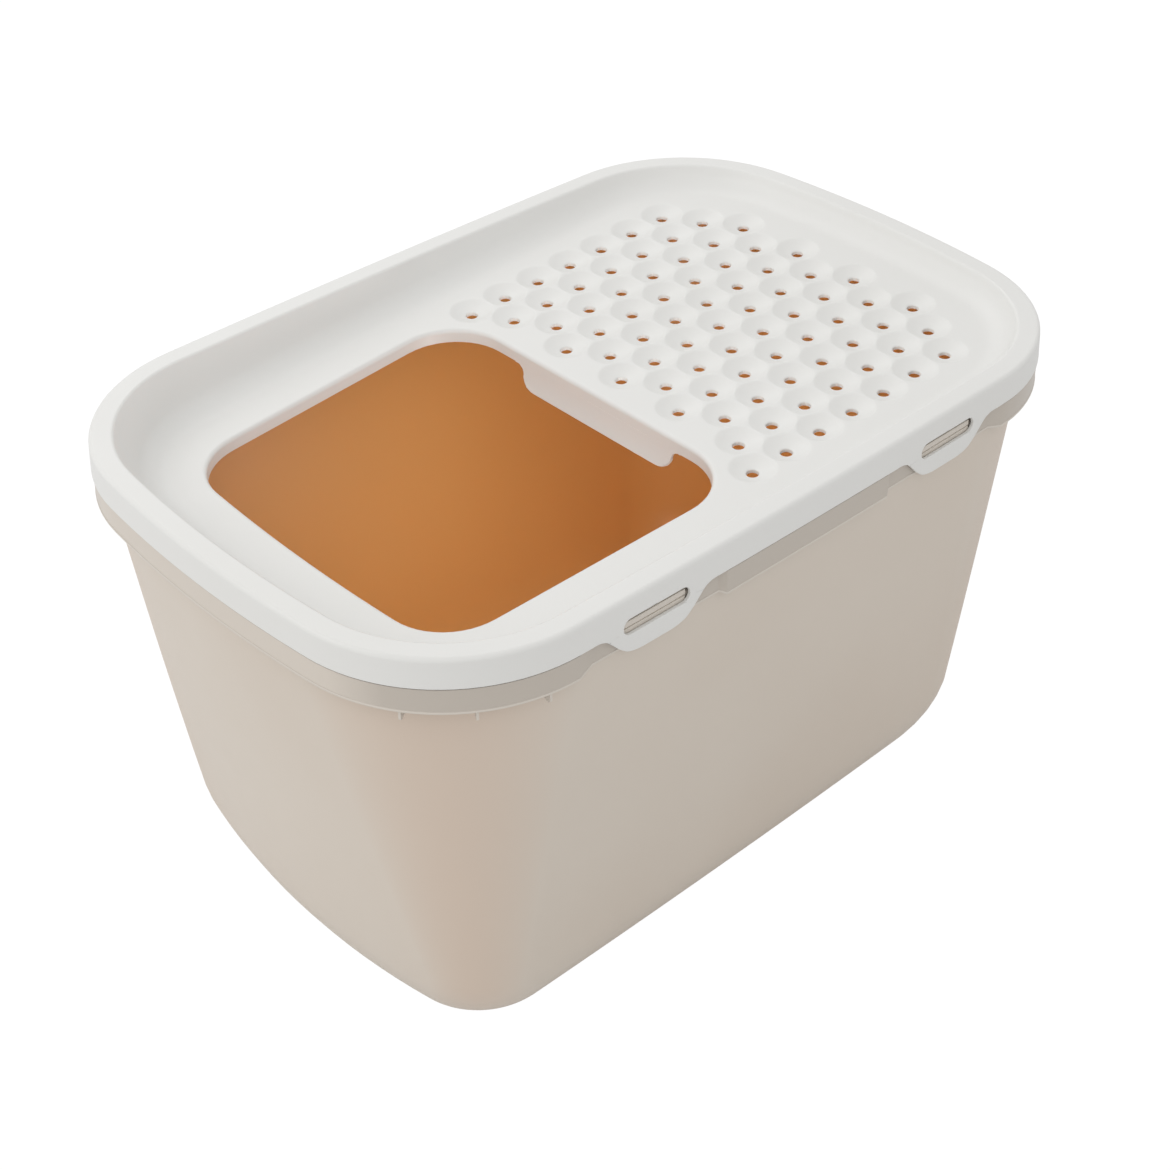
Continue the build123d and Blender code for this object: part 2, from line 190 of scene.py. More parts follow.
@dataclass(frozen=True)
class BowedOutline:
    """Plan outline of four corner arcs joined by bowed ends and sides."""

    half_length: float
    half_width: float
    end_bow: float
    side_bow: float
    corner: float

    @property
    def end_radius(self) -> float:
        """Radius of the bowed ends."""
        return (self.half_width**2 + self.end_bow**2) / (2 * self.end_bow)

    @property
    def side_radius(self) -> float:
        """Radius of the bowed sides."""
        return (self.half_length**2 + self.side_bow**2) / (2 * self.side_bow)

    @property
    def end_centre(self) -> Vector:
        """Centre of the right end's arc."""
        return Vector((self.half_length - self.end_radius, 0.0))

    @property
    def side_centre(self) -> Vector:
        """Centre of the rear side's arc."""
        return Vector((0.0, self.half_width - self.side_radius))

    @property
    def corner_centre(self) -> Vector:
        """Centre of the rear right corner's arc, which touches both bowed arcs."""
        reach_end = self.end_radius - self.corner
        reach_side = self.side_radius - self.corner
        between = self.side_centre - self.end_centre
        span = between.length
        along = (reach_end**2 - reach_side**2 + span**2) / (2 * span)
        across = math.sqrt(reach_end**2 - along**2)
        unit = between / span
        return self.end_centre + unit * along + Vector((-unit.y, unit.x)) * across

    def side_y(self, x: float) -> float:
        """Half width of the bowed side at x."""
        return self.side_centre.y + math.sqrt(self.side_radius**2 - x**2)

    def inset_at(self, x: float, y: float) -> tuple[float, Vector]:
        """How far a point is drawn in from the outline.

        Args:
            x: Place along the length.
            y: Place across the width.

        Returns:
            The inset, and the outward direction in plan.
        """
        spot = Vector((abs(x), abs(y)))
        corner = self.corner_centre
        low = math.atan2(*(corner - self.end_centre).yx)
        high = math.atan2(*(corner - self.side_centre).yx)
        away = spot - corner
        angle = math.atan2(away.y, away.x)
        centre, radius = corner, self.corner
        if angle < low or (spot.x > corner.x and spot.y < corner.y):
            centre, radius = self.end_centre, self.end_radius
        elif angle > high:
            centre, radius = self.side_centre, self.side_radius
        out = spot - centre
        unit = out.normalized()
        return radius - out.length, Vector((math.copysign(unit.x, x), math.copysign(unit.y, y)))

    def contour(
        self, end_steps: int, corner_steps: int, side_steps: int, stops: Sequence[float] = (0.0,)
    ) -> Contour:
        """The outline as a contour, from the foot of the right end's arc.

        Args:
            end_steps: Steps along each end.
            corner_steps: Steps round each corner.
            side_steps: Steps in each stretch of a side between two stops.
            stops: Places along the length where the sides get a step, from right to left.

        Returns:
            The contour, taken anticlockwise.
        """
        corner = self.corner_centre
        end_swing = math.atan2(*(corner - self.end_centre).yx)
        side_swing = math.pi / 2 - math.atan2(*(corner - self.side_centre).yx)
        corner_swing = math.pi / 2 - end_swing - side_swing
        cx, cy = corner
        ends = [
            Turn((s * self.end_centre.x, 0.0), self.end_radius, a - end_swing, 2 * end_swing, end_steps)
            for s, a in ((1, 0.0), (-1, math.pi))
        ]
        swings = [side_swing, *(math.asin(x / self.side_radius) for x in stops), -side_swing]
        sides = []
        for turn, y in ((0.0, self.side_centre.y), (math.pi, -self.side_centre.y)):
            row = []
            for first, last in zip(swings, swings[1:]):
                steps = 1 if (first - last) * self.side_radius < SHORT_STRETCH else side_steps
                start = turn + math.pi / 2 - first
                row.append(Turn((0.0, y), self.side_radius, start, first - last, steps))
            sides.append(row)
        starts = (end_swing, math.pi / 2 + side_swing, math.pi + end_swing, 1.5 * math.pi + side_swing)
        places = ((cx, cy), (-cx, cy), (-cx, -cy), (cx, -cy))
        corners = [
            Turn(place, self.corner, start, corner_swing, corner_steps)
            for place, start in zip(places, starts)
        ]
        return Contour((
            ends[0], corners[0], *sides[0], corners[1],
            ends[1], corners[2], *sides[1], corners[3],
        ))


RIM = BowedOutline(0.2925, 0.195, 0.0215, 0.005, 0.110)
TAB_PLACE = 0.124


class Bench:
    """The operators that every piece is made with."""

    @staticmethod
    def clear() -> None:
        """Leaves edit mode and deselects everything."""
        if bpy.context.object is not None and bpy.context.object.mode != "OBJECT":
            bpy.ops.object.mode_set(mode="OBJECT")
        bpy.ops.object.select_all(action="DESELECT")

    @staticmethod
    def take(piece: bpy.types.Object) -> None:
        """Makes a piece the only one selected and the active one."""
        Bench.clear()
        piece.select_set(True)
        bpy.context.view_layer.objects.active = piece

    @staticmethod
    def edit(piece: bpy.types.Object) -> None:
        """Opens a piece in edit mode with all of it selected."""
        Bench.take(piece)
        bpy.ops.object.mode_set(mode="EDIT")
        bpy.ops.mesh.select_mode(type="VERT")
        bpy.ops.mesh.select_all(action="SELECT")

    @staticmethod
    def point(name: str, place: Vector) -> bpy.types.Object:
        """Starts a piece from a small plane merged to one point, left in edit mode.

        Args:
            name: The piece's name.
            place: Where the point is.

        Returns:
            The new piece.
        """
        Bench.clear()
        bpy.ops.mesh.primitive_plane_add(size=DOT, location=place)
        piece = bpy.context.object
        piece.name = piece.data.name = name
        bpy.ops.object.transform_apply(location=True, rotation=True, scale=True)
        Bench.edit(piece)
        bpy.ops.mesh.merge(type="CENTER")
        return piece

    @staticmethod
    def another_point(place: Vector) -> None:
        """Adds a further point to the piece in edit mode and selects only that."""
        bpy.ops.mesh.select_all(action="DESELECT")
        bpy.ops.mesh.primitive_plane_add(size=DOT, location=place)
        bpy.ops.mesh.merge(type="CENTER")

    @staticmethod
    def draw(places: Sequence[Vector]) -> None:
        """Extrudes the selected point through a row of places that starts with its own."""
        for here, there in zip(places, places[1:]):
            Bench.extrude(there - here)

    @staticmethod
    def extrude(move: Iterable[float]) -> None:
        """Extrudes what is selected by a move."""
        bpy.ops.mesh.extrude_region_move(TRANSFORM_OT_translate={"value": tuple(move)})

    @staticmethod
    def cut(place: Place3, way: Place3) -> None:
        """Cuts all of the piece in edit mode along a plane, and keeps both sides."""
        bpy.ops.mesh.select_all(action="SELECT")
        bpy.ops.mesh.bisect(plane_co=place, plane_no=way)

    @staticmethod
    def twin(model: bpy.types.Object) -> bpy.types.Object:
        """Copies a piece, with a mesh of its own.

        Args:
            model: The piece to copy.

        Returns:
            The copy, in the scene.
        """
        made = model.copy()
        made.data = model.data.copy()
        bpy.context.scene.collection.objects.link(made)
        return made

    @staticmethod
    def merge(distance: float = SEAM) -> None:
        """Merges doubles all over the piece in edit mode."""
        bpy.ops.mesh.select_mode(type="VERT")
        bpy.ops.mesh.select_all(action="SELECT")
        bpy.ops.mesh.remove_doubles(threshold=distance)

    @staticmethod
    def pick(piece: bpy.types.Object, kind: str, wanted: Callable[[object], bool]) -> int:
        """Selects the vertices, edges or faces that pass a test, and nothing else.

        Args:
            piece: The piece in edit mode.
            kind: VERT, EDGE or FACE.
            wanted: Test of one bmesh element.

        Returns:
            How many were selected.
        """
        bpy.ops.mesh.select_mode(type=kind)
        bpy.ops.mesh.select_all(action="DESELECT")
        mesh = bmesh.from_edit_mesh(piece.data)
        mesh.verts.index_update()
        group = {"VERT": mesh.verts, "EDGE": mesh.edges, "FACE": mesh.faces}[kind]
        count = 0
        for element in group:
            if wanted(element):
                element.select_set(True)
                count += 1
        mesh.select_flush_mode()
        bmesh.update_edit_mesh(piece.data)
        return count

    @staticmethod
    def face_out(piece: bpy.types.Object, wanted: Callable[[object], bool], way: Vector) -> None:
        """Makes the faces of an open sheet agree, with the chosen one towards a direction.

        Args:
            piece: The piece in edit mode.
            wanted: Test that finds faces whose direction is known.
            way: The direction that they have to face.
        """
        bpy.ops.mesh.select_all(action="SELECT")
        bpy.ops.mesh.normals_make_consistent(inside=False)
        mesh = bmesh.from_edit_mesh(piece.data)
        mesh.normal_update()
        known = [face for face in mesh.faces if wanted(face)]
        if sum(face.normal.dot(way) for face in known) < 0:
            bpy.ops.mesh.flip_normals()

    @staticmethod
    def apply(piece: bpy.types.Object, kind: str, **settings: object) -> None:
        """Adds a modifier, sets it and applies it.

        Args:
            piece: The piece to change.
            kind: The modifier's type.
            **settings: The modifier's own settings.
        """
        Bench.take(piece)
        bpy.ops.object.modifier_add(type=kind)
        modifier = piece.modifiers[-1]
        for name, value in settings.items():
            setattr(modifier, name, value)
        bpy.ops.object.modifier_apply(modifier=modifier.name)

    @staticmethod
    def thicken(piece: bpy.types.Object, wall: float, **settings: object) -> None:
        """Gives an open sheet its thickness, inwards from its faces."""
        Bench.apply(piece, "SOLIDIFY", thickness=wall, offset=-1.0, use_quality_normals=True, **settings)

    @staticmethod
    def smooth(piece: bpy.types.Object) -> None:
        """Shades a piece smooth but for its creases, led by its larger faces."""
        Bench.take(piece)
        bpy.ops.object.shade_smooth_by_angle(angle=CREASE)
        Bench.apply(piece, "WEIGHTED_NORMAL", mode="FACE_AREA", weight=50, keep_sharp=True)

    @staticmethod
    def join(name: str, pieces: Sequence[bpy.types.Object]) -> bpy.types.Object:
        """Joins pieces into one.

        Args:
            name: Name of the joined piece.
            pieces: The pieces, the first of which stays.

        Returns:
            The joined piece.
        """
        Bench.clear()
        for piece in pieces:
            piece.select_set(True)
        bpy.context.view_layer.objects.active = pieces[0]
        bpy.ops.object.join()
        pieces[0].name = pieces[0].data.name = name
        return pieces[0]

    @staticmethod
    def sweep(name: str, contour: Contour, profile: Profile) -> bpy.types.Object:
        """Takes a profile round a contour.

        Args:
            name: The piece's name.
            contour: The line to follow, starting on an arc.
            profile: Distance outside the contour and height of each point.

        Returns:
            The swept sheet, in edit mode.
        """
        first = contour.parts[0]
        places = [first.spot(outward, first.start) + Vector((0.0, 0.0, z)) for outward, z in profile]
        piece = Bench.point(name, places[0])
        Bench.draw(places)
        bpy.ops.mesh.select_all(action="SELECT")
        contour.carry()
        Bench.merge()
        return piece

    @staticmethod
    def stack(
        name: str, rings: Sequence[tuple[BowedOutline, float, float]], steps: tuple[int, int, int]
    ) -> bpy.types.Object:
        """Spins a ring for each outline and bridges them into one sheet.

        Args:
            name: The piece's name.
            rings: Outline, inset and height of each ring, in order.
            steps: Steps of each end, corner and half side.

        Returns:
            The bridged sheet, in edit mode.
        """
        loops = []
        for outline, inset, z in rings:
            contour = outline.contour(*steps)
            first = contour.parts[0]
            loops.append(Bench.point(name, first.spot(-inset, first.start) + Vector((0.0, 0.0, z))))
            contour.carry()
            Bench.merge(RING_SEAM)
            Bench.clear()
        piece = Bench.join(name, loops)
        count = len(piece.data.vertices) // len(rings)
        Bench.edit(piece)
        for lower in range(len(rings) - 1):

            def is_in_pair(edge: bmesh.types.BMEdge) -> bool:
                first, last = (vertex.index // count for vertex in edge.verts)
                return first == last and first in (lower, lower + 1)

            Bench.pick(piece, "EDGE", is_in_pair)
            bpy.ops.mesh.bridge_edge_loops(type="SINGLE")
        return piece


class Graph:
    """The shader nodes of a material or of the world."""

    def __init__(self, owner: bpy.types.ID) -> None:
        """Opens an owner's nodes."""
        owner.use_nodes = True
        self.tree = owner.node_tree

    def feed(self, node: bpy.types.Node, values: Mapping[str | int, object]) -> None:
        """Sets a node's inputs, or links those whose value is another node's output.

        Args:
            node: The node.
            values: What each input gets, by its name or number.
        """
        for key, value in values.items():
            if isinstance(value, bpy.types.NodeSocket):
                self.tree.links.new(value, node.inputs[key])
            else:
                node.inputs[key].default_value = value

    def add(self, kind: str, values: Mapping[str | int, object], **settings: str) -> bpy.types.NodeOutputs:
        """Adds a node.

        Args:
            kind: Its type, without the prefix.
            values: What each input gets.
            **settings: The node's own settings.

        Returns:
            The node's outputs.
        """
        node = self.tree.nodes.new(f"ShaderNode{kind}")
        for name, value in settings.items():
            setattr(node, name, value)
        self.feed(node, values)
        return node.outputs


@dataclass(frozen=True)
class MouldedPlastic:
    """A satin moulded plastic: two close tones, a fine skin and slight waves in the wall, with painted light
    on the faces turned a chosen way where a finish gives a tone for it.
    """

    name: str
    tone: Tone
    drift: Tone
    roughness: float
    painted_light_tone: Tone | None = None
    painted_light_where: Turned = Turned.TO_CORNER
    slot: str = "tub_taupe"
    refraction: float = 1.49
    drift_noise: Place = (3.4, 2.0)
    drift_range: Place = (0.38, 0.64)
    painted_light_share: float = 0.9
    polish_noise: Place = (46.0, 4.0)
    polish_spread: float = 0.05
    wave_noise: Place = (9.0, 1.0)
    wave_strength: float = 0.5
    wave_height: float = 0.00022
    skin_noise: Place = (1500.0, 3.0)
    skin_strength: float = 0.6
    skin_height: float = 0.000012

    def add_painted_light(
        self, graph: Graph, normal: bpy.types.NodeSocket, colour: bpy.types.NodeSocket
    ) -> bpy.types.NodeSocket:
        """Adds the painted light where the surface is turned to take it.

        Args:
            graph: The material's nodes.
            normal: The surface's direction.
            colour: The colour without the painted light.

        Returns:
            The colour with it.
        """
        apart = graph.add("SeparateXYZ", {0: normal})
        other = apart["Y"] if self.painted_light_where is Turned.TO_CORNER else 1.0
        both = graph.add("Math", {0: apart["X"], 1: other}, operation="MULTIPLY")
        size = graph.add("Math", {0: both[0]}, operation="ABSOLUTE")
        low, high = self.painted_light_where.value
        span = {"From Min": low, "From Max": high, "To Max": self.painted_light_share}
        turned = graph.add("MapRange", {**span, "Value": size[0]})
        return graph.add("Mix", {0: turned["Result"], 6: colour, 7: (*self.painted_light_tone, 1.0)}, data_type="RGBA")[2]

    def material(self) -> bpy.types.Material:
        """Builds the finish.

        Returns:
            A material whose patterns follow the object's own coordinates.
        """
        made = bpy.data.materials.new(self.name)
        graph = Graph(made)
        place = graph.add("TexCoord", {})

        def noise(look: Place) -> bpy.types.NodeSocket:
            values = {"Scale": look[0], "Detail": look[1], "Vector": place["Object"]}
            return graph.add("TexNoise", values)["Fac"]

        low, high = self.drift_range
        spread = graph.add("MapRange", {"From Min": low, "From Max": high, "Value": noise(self.drift_noise)})
        tones = {0: spread["Result"], 6: (*self.tone, 1.0), 7: (*self.drift, 1.0)}
        colour = graph.add("Mix", tones, data_type="RGBA")[2]
        # Painted light, laid on by the surface's direction where the finish has a tone for it.
        if self.painted_light_tone is not None:
            colour = self.add_painted_light(graph, place["Normal"], colour)
        least, most = self.roughness - self.polish_spread, self.roughness + self.polish_spread
        polish = graph.add("MapRange", {"To Min": least, "To Max": most, "Value": noise(self.polish_noise)})
        waves = graph.add("Bump", {
            "Strength": self.wave_strength, "Distance": self.wave_height, "Height": noise(self.wave_noise)})
        relief = graph.add("Bump", {
            "Strength": self.skin_strength, "Distance": self.skin_height, "Height": noise(self.skin_noise),
            "Normal": waves["Normal"]})["Normal"]
        graph.feed(made.node_tree.nodes["Principled BSDF"], {
            "Base Color": colour, "Roughness": polish["Result"], "Normal": relief, "IOR": self.refraction})
        return made


LID_WHITE = MouldedPlastic(
    "satin_white_lid", (0.790, 0.785, 0.762), (0.770, 0.764, 0.738), 0.42, slot="lid_white")
# The tub's faces turned to the corners take a warmer, slightly darker tone: painted warm light.
TUB_TAUPE = MouldedPlastic(
    "satin_taupe_tub", (0.685, 0.612, 0.530), (0.662, 0.580, 0.494), 0.40, (0.668, 0.545, 0.445))
# Darker than the tub's taupe: painted shade under the lid's skirt. Faces turned to the ends go back to the
# tub's own tone.
RIM_TAUPE_PAINTED_SHADE = MouldedPlastic(
    "polished_taupe_rim", (0.550, 0.496, 0.434), (0.535, 0.480, 0.418), 0.30, (0.672, 0.606, 0.530),
    Turned.TO_END)
# The ribs' own pale taupe. On the band's bead it is a painted highlight line.
RIB_TAUPE_AND_HIGHLIGHT = MouldedPlastic("pale_taupe_ribs", (0.680, 0.626, 0.556), (0.662, 0.606, 0.536), 0.36)
# The caramel on the tub's inner faces is a painted warm glow, standing in for light passed through the walls
# and bounced inside.
TUB_CARAMEL_PAINTED_GLOW = MouldedPlastic("satin_caramel_painted_glow", (0.745, 0.398, 0.134), (0.720, 0.372, 0.120), 0.46)


@dataclass
class Lid:
    """The snap-fit lid: rim, skirt, sunk deck, rolled entry opening, apron, perforated dishes and tabs."""

    height: float = 0.375
    outline: BowedOutline = RIM
    wall: float = 0.0025
    skirt_wall: float = 0.0023
    skirt_depth: float = 0.0195
    skirt_draft: float = 0.0012
    skirt_edge: float = 0.0004
    skirt_reach: float = 0.002
    rim_width: float = 0.0156
    rim_outer_round: float = 0.0030
    rim_inner_round: float = 0.0026
    deck_depth: float = 0.0248
    deck_slope: float = 0.0424
    pan_slope: float = 0.5
    pan_cove: float = 0.020
    pan_edge: float = 0.0025
    pan_margin: float = 0.006
    level_margin: float = 0.0012
    entry_back: float = 0.008
    entry_front: float = -0.218
    entry_bow: float = 0.0055
    entry_back_half: float = 0.133
    entry_front_half: float = 0.1225
    entry_corner: float = 0.041
    entry_corner_steps: int = 12
    entry_bow_steps: int = 16
    roll: float = 0.0028
    lip_depth: float = 0.0093
    lip_edge: float = 0.0004
    apron_half_width: float = 0.0686
    apron_shift: float = -0.0037
    apron_depth: float = 0.0245
    apron_curve: float = 0.042
    apron_corner: Place = (0.0116, 0.0094)
    apron_root: Place = (0.0080, 0.0058)
    apron_lap: float = 0.0008
    apron_gap: float = 0.00002
    apron_rows: int = 9
    apron_bevel: float = 0.0007
    hole_pitch: float = 0.030
    hole_radius: float = 0.0040
    hole_start: float = 0.0115
    hole_rows: int = 7
    hole_columns: int = 9
    hole_rim_margin: float = 0.055
    hole_entry_margin: float = 0.015
    dish_radius: float = 0.0146
    dish_depth: float = 0.0040
    dish_blend: float = 0.00035
    dish_reach: float = 0.019
    dish_border: float = 0.0170
    dish_border_least: float = 0.008
    dish_border_step: float = 0.0004
    dish_to_roll: float = 0.002
    dish_to_cove: float = 0.0014
    dish_tight: float = 1.15
    dish_squeeze: float = 0.8
    dish_steps: int = 36
    dish_rings: tuple[float, ...] = (0.0003, 0.0008, 0.0019, 0.0038, 0.0061, 0.0083)
    dish_shares: tuple[float, ...] = (0.28, 0.52, 0.74, 0.90, 1.0)
    hole_ease: float = 0.0008
    hole_draw: float = 0.95
    hole_fall: float = 0.6
    hole_clear: float = 0.0006
    deck_below: float = 0.010
    tab_half: float = 0.047
    tab_root: float = 0.012
    tab_flank: tuple[tuple[Place, Place], ...] = (
        ((0.0440, -0.0195), (-0.0060, 0.0)), ((0.0367, -0.0222), (-0.0050, -0.0048)),
        ((0.0302, -0.0290), (-0.0056, -0.0066)), ((0.0222, -0.0358), (-0.0064, -0.0038)),
        ((0.0100, -0.0382), (-0.0120, 0.0)))
    slot_half: float = 0.0198
    slot_radius: float = 0.0052
    slot_steps: int = 10
    tab_bevel: float = 0.0005
    tab_cuts: tuple[float, ...] = (
        -0.0132, -0.0145, -0.0172, -0.0215, -0.0248, -0.0265, -0.0290, -0.0320, -0.0350)
    tab_columns: int = 4
    steps: tuple[int, int, int] = (14, 22, 7)
    entry: Contour = field(init=False)
    holes: list[Place] = field(init=False)

    def __post_init__(self) -> None:
        """Settles the opening's line and the places of the holes."""
        self.entry = self.entry_contour()
        self.holes = self.hole_places()

    @property
    def pan_angle(self) -> float:
        """Lean of the pan's walls from upright."""
        return math.atan(self.pan_slope)

    def deck_z(self, x: float) -> float:
        """Height of the deck at x."""
        return self.height - self.deck_depth + self.deck_slope * x

    def entry_contour(self) -> Contour:
        """Line of the opening: a straight back, slanted sides and a bowed front, with rounded corners.

        Returns:
            The contour, from the back corner on the front side.
        """
        r, bx, bh = self.entry_corner, self.entry_back, self.entry_back_half
        fx, fh = self.entry_front, self.entry_front_half
        bow_radius = (fh**2 + self.entry_bow**2) / (2 * self.entry_bow)
        bow_centre = fx - self.entry_bow + bow_radius
        start, end = Vector((fx, -fh)), Vector((bx, -bh))
        way = (end - start).normalized()
        inward = Vector((-way.y, way.x))
        base = start + inward * r
        back = base + way * ((bx - r - base.x) / way.x)
        gap = base - Vector((bow_centre, 0.0))
        half = gap.dot(way)
        reach = bow_radius - r
        front = base + way * (-half - math.sqrt(half**2 - gap.length_squared + reach**2))
        slant = math.atan2(-inward.y, -inward.x)
        nose = math.atan2(front.y, front.x - bow_centre)
        side_swing = -slant
        front_swing = (slant - nose) % math.tau
        nose_up = math.tau - (nose % math.tau)
        line_start, line_end = front - inward * r, back - inward * r
        count = self.entry_corner_steps
        return Contour((
            Turn(tuple(back), r, slant, side_swing, count),
            Run((bx, back.y), (bx, -back.y)),
            Turn((back.x, -back.y), r, 0.0, side_swing, count),
            Run((line_end.x, -line_end.y), (line_start.x, -line_start.y)),
            Turn((front.x, -front.y), r, -slant, front_swing, count),
            Turn((bow_centre, 0.0), bow_radius, nose_up, (nose - nose_up) % math.tau, self.entry_bow_steps),
            Turn(tuple(front), r, nose, front_swing, count),
            Run(tuple(line_start), tuple(line_end)),
        ))

    def hole_places(self) -> list[Place]:
        """Places of the holes, row by row.

        Returns:
            The holes that keep clear of the rim and of the opening.
        """
        gap = self.hole_pitch * math.sqrt(3) / 2
        places = []
        for row in range(-self.hole_rows, self.hole_rows + 1):
            start = self.entry_back + self.hole_start + (self.hole_pitch / 2 if row % 2 == 0 else 0.0)
            for column in range(self.hole_columns):
                x, y = start + column * self.hole_pitch, row * gap
                clear = abs(y) < self.outline.half_width
                clear = clear and self.outline.inset_at(x, y)[0] >= self.hole_rim_margin
                if clear and self.entry.distance(x, y) > self.hole_entry_margin:
                    places.append((x, y))
        return places

    def shell_profile(self) -> list[Place]:
        """Section from the skirt's foot over the rim and down to the deck, for a level deck.

        Returns:
            Inset and height below the rim of each point.
        """
        lean = math.atan(self.skirt_draft / self.skirt_depth)
        draft = math.tan(lean)
        edge, depth = self.skirt_edge, self.skirt_depth
        points = [(edge, -depth), (edge * 0.3, edge * 0.3 - depth), (0.0, edge - depth),
                  (draft * (depth - self.tab_root), -self.tab_root)]
        r = self.rim_outer_round
        centre = self.skirt_draft - draft * r + r / math.cos(lean)
        for swing in angles(lean, math.pi / 2, 8):
            points.append((centre - r * math.cos(swing), -r + r * math.sin(swing)))
        r = self.rim_inner_round
        turn = math.pi / 2 - self.pan_angle
        start = self.rim_width - r * math.tan(turn / 2)
        points.append((0.5 * (centre + start), 0.0))
        for swing in angles(0.0, turn, 6):
            points.append((start + r * math.sin(swing), -r + r * math.cos(swing)))
        r = self.pan_cove
        end = self.rim_width + self.pan_slope * self.deck_depth + r * math.tan(turn / 2)
        for swing in angles(turn, 0.0, 12):
            points.append((end - r * math.sin(swing), -self.deck_depth + r - r * math.cos(swing)))
        points.append((end + self.level_margin, -self.deck_depth))
        return points

    def roll_profile(self) -> list[Place]:
        """Section from the deck over the rolled edge and down the lip.

        Returns:
            Distance outside the opening and height below the rim of each point.
        """
        r = self.roll
        points = [(r + self.level_margin, -self.deck_depth)]
        for swing in angles(0.0, math.pi / 2, 8):
            points.append((r - r * math.sin(swing), -self.deck_depth - r + r * math.cos(swing)))
        points.append((0.0, -self.deck_depth - self.lip_depth + self.lip_edge))
        points.append((self.lip_edge, -self.deck_depth - self.lip_depth))
        return points

    def dish_drop(self, x: float, y: float) -> float:
        """Depth of the dishes at a place, with soft ridges where two run together.

        Args:
            x: Place along the length.
            y: Place across the width.

        Returns:
            How far the deck is sunk there.
        """
        ball = (self.dish_radius**2 + self.dish_depth**2) / (2 * self.dish_depth)
        drop = 0.0
        k = self.dish_blend
        for hx, hy in self.holes:
            away = math.hypot(x - hx, y - hy)
            if away > self.dish_reach:
                continue
            cap = math.sqrt(ball**2 - away**2) - (ball - self.dish_depth)
            reach = max(k - abs(cap - drop), 0.0) / k
            drop = max(cap, drop) + reach * reach * k / 4
        return drop

    def border(self, place: Place, angle: float) -> float:
        """Reach of a hole's cell at an angle: half way to a neighbour, or just past the dish.

        Args:
            place: The hole's place.
            angle: Direction from the hole.

        Returns:
            Distance of the cell's border from the hole.
        """
        step = math.radians(60)
        half = self.hole_pitch / 2
        side = math.floor((angle + step / 2) / step)
        corner = abs((angle + step / 2) / step - round((angle + step / 2) / step)) < 1e-6
        near = [side, side - 1] if corner else [side]
        for index in near:
            nx = place[0] + self.hole_pitch * math.cos(index * step)
            ny = place[1] + self.hole_pitch * math.sin(index * step)
            if any(math.hypot(nx - hx, ny - hy) < DOT for hx, hy in self.holes):
                return half / math.cos(angle - index * step)
        reach = self.dish_border
        while reach > self.dish_border_least:
            x, y = place[0] + reach * math.cos(angle), place[1] + reach * math.sin(angle)
            level = self.shell_profile()[-1][0] - self.pan_slope * self.deck_slope * x + self.dish_to_cove
            off_roll = self.entry.distance(x, y) > self.roll + self.dish_to_roll
            if off_roll and self.outline.inset_at(x, y)[0] > level:
                break
            reach -= self.dish_border_step
        return reach

    def cell(self) -> bpy.types.Object:
        """Rings of faces from a hole's edge out to the border of its cell.

        Returns:
            One cell about the origin, its rings one apart.
        """
        Bench.clear()
        bpy.ops.mesh.primitive_circle_add(vertices=self.dish_steps, radius=1.0, rotation=(0.0, 0.0, 0.0))
        piece = bpy.context.object
        Bench.edit(piece)
        for ring in range(1, 1 + len(self.dish_rings) + len(self.dish_shares)):
            bpy.ops.mesh.extrude_region_move()
            bpy.ops.transform.resize(value=((1 + ring) / ring,) * 3)
        Bench.clear()
        return piece

    def cells(self) -> list[bpy.types.Object]:
        """Copies the cell to each hole and draws its rings out to that cell's border.

        Returns:
            The cells, ready to join to the deck.
        """
        model = self.cell()
        made = []
        for hx, hy in self.holes:
            copy = Bench.twin(model)
            borders: dict[int, float] = {}
            for vertex in copy.data.vertices:
                ring = round(math.hypot(vertex.co.x, vertex.co.y)) - 1
                key = round(math.degrees(math.atan2(vertex.co.y, vertex.co.x))) % 360
                angle = math.radians(key)
                if key not in borders:
                    borders[key] = self.border((hx, hy), angle)
                reach = self.hole_radius + (0.0, *self.dish_rings)[min(ring, len(self.dish_rings))]
                room, last = borders[key] - self.hole_radius, self.dish_rings[-1]
                if borders[key] < self.hole_radius + self.dish_tight * last:
                    reach = self.hole_radius + (reach - self.hole_radius) * self.dish_squeeze * room / last
                if ring > len(self.dish_rings):
                    reach += (borders[key] - reach) * self.dish_shares[ring - len(self.dish_rings) - 1]
                x, y = hx + reach * math.cos(angle), hy + reach * math.sin(angle)
                vertex.co = Vector((x, y, -self.deck_depth))
            made.append(copy)
        bpy.data.objects.remove(model)
        return made

    def rise(self, x: float, z: float) -> float:
        """How far the deck's slope lifts a point of the pan.

        Args:
            x: Place along the length.
            z: Height counted from the rim.

        Returns:
            The lift, none at the rim and full at the deck.
        """
        turn = math.pi / 2 - self.pan_angle
        top = -self.rim_inner_round * (1 - math.cos(turn))
        foot = -self.deck_depth + self.pan_cove * (1 - math.cos(turn))
        return min(max((top - z) / (top - foot), 0.0), 1.0) * self.deck_slope * x

    def in_pan(self, inset: float, z: float) -> bool:
        """Whether a point is on the pan, counted from the rim's inner edge."""
        return inset > self.rim_width - self.pan_edge and z < 0

    def lean_wall(self, vertex: bpy.types.MeshVertex) -> None:
        """Moves a point of the swept sheet outwards as the sloping deck needs.

        Args:
            vertex: The point, its height counted from the rim.
        """
        x, y, z = vertex.co
        inset, out = self.outline.inset_at(x, y)
        if self.in_pan(inset, z):
            move = self.pan_slope * self.rise(x, z)
            vertex.co.x += out.x * move
            vertex.co.y += out.y * move

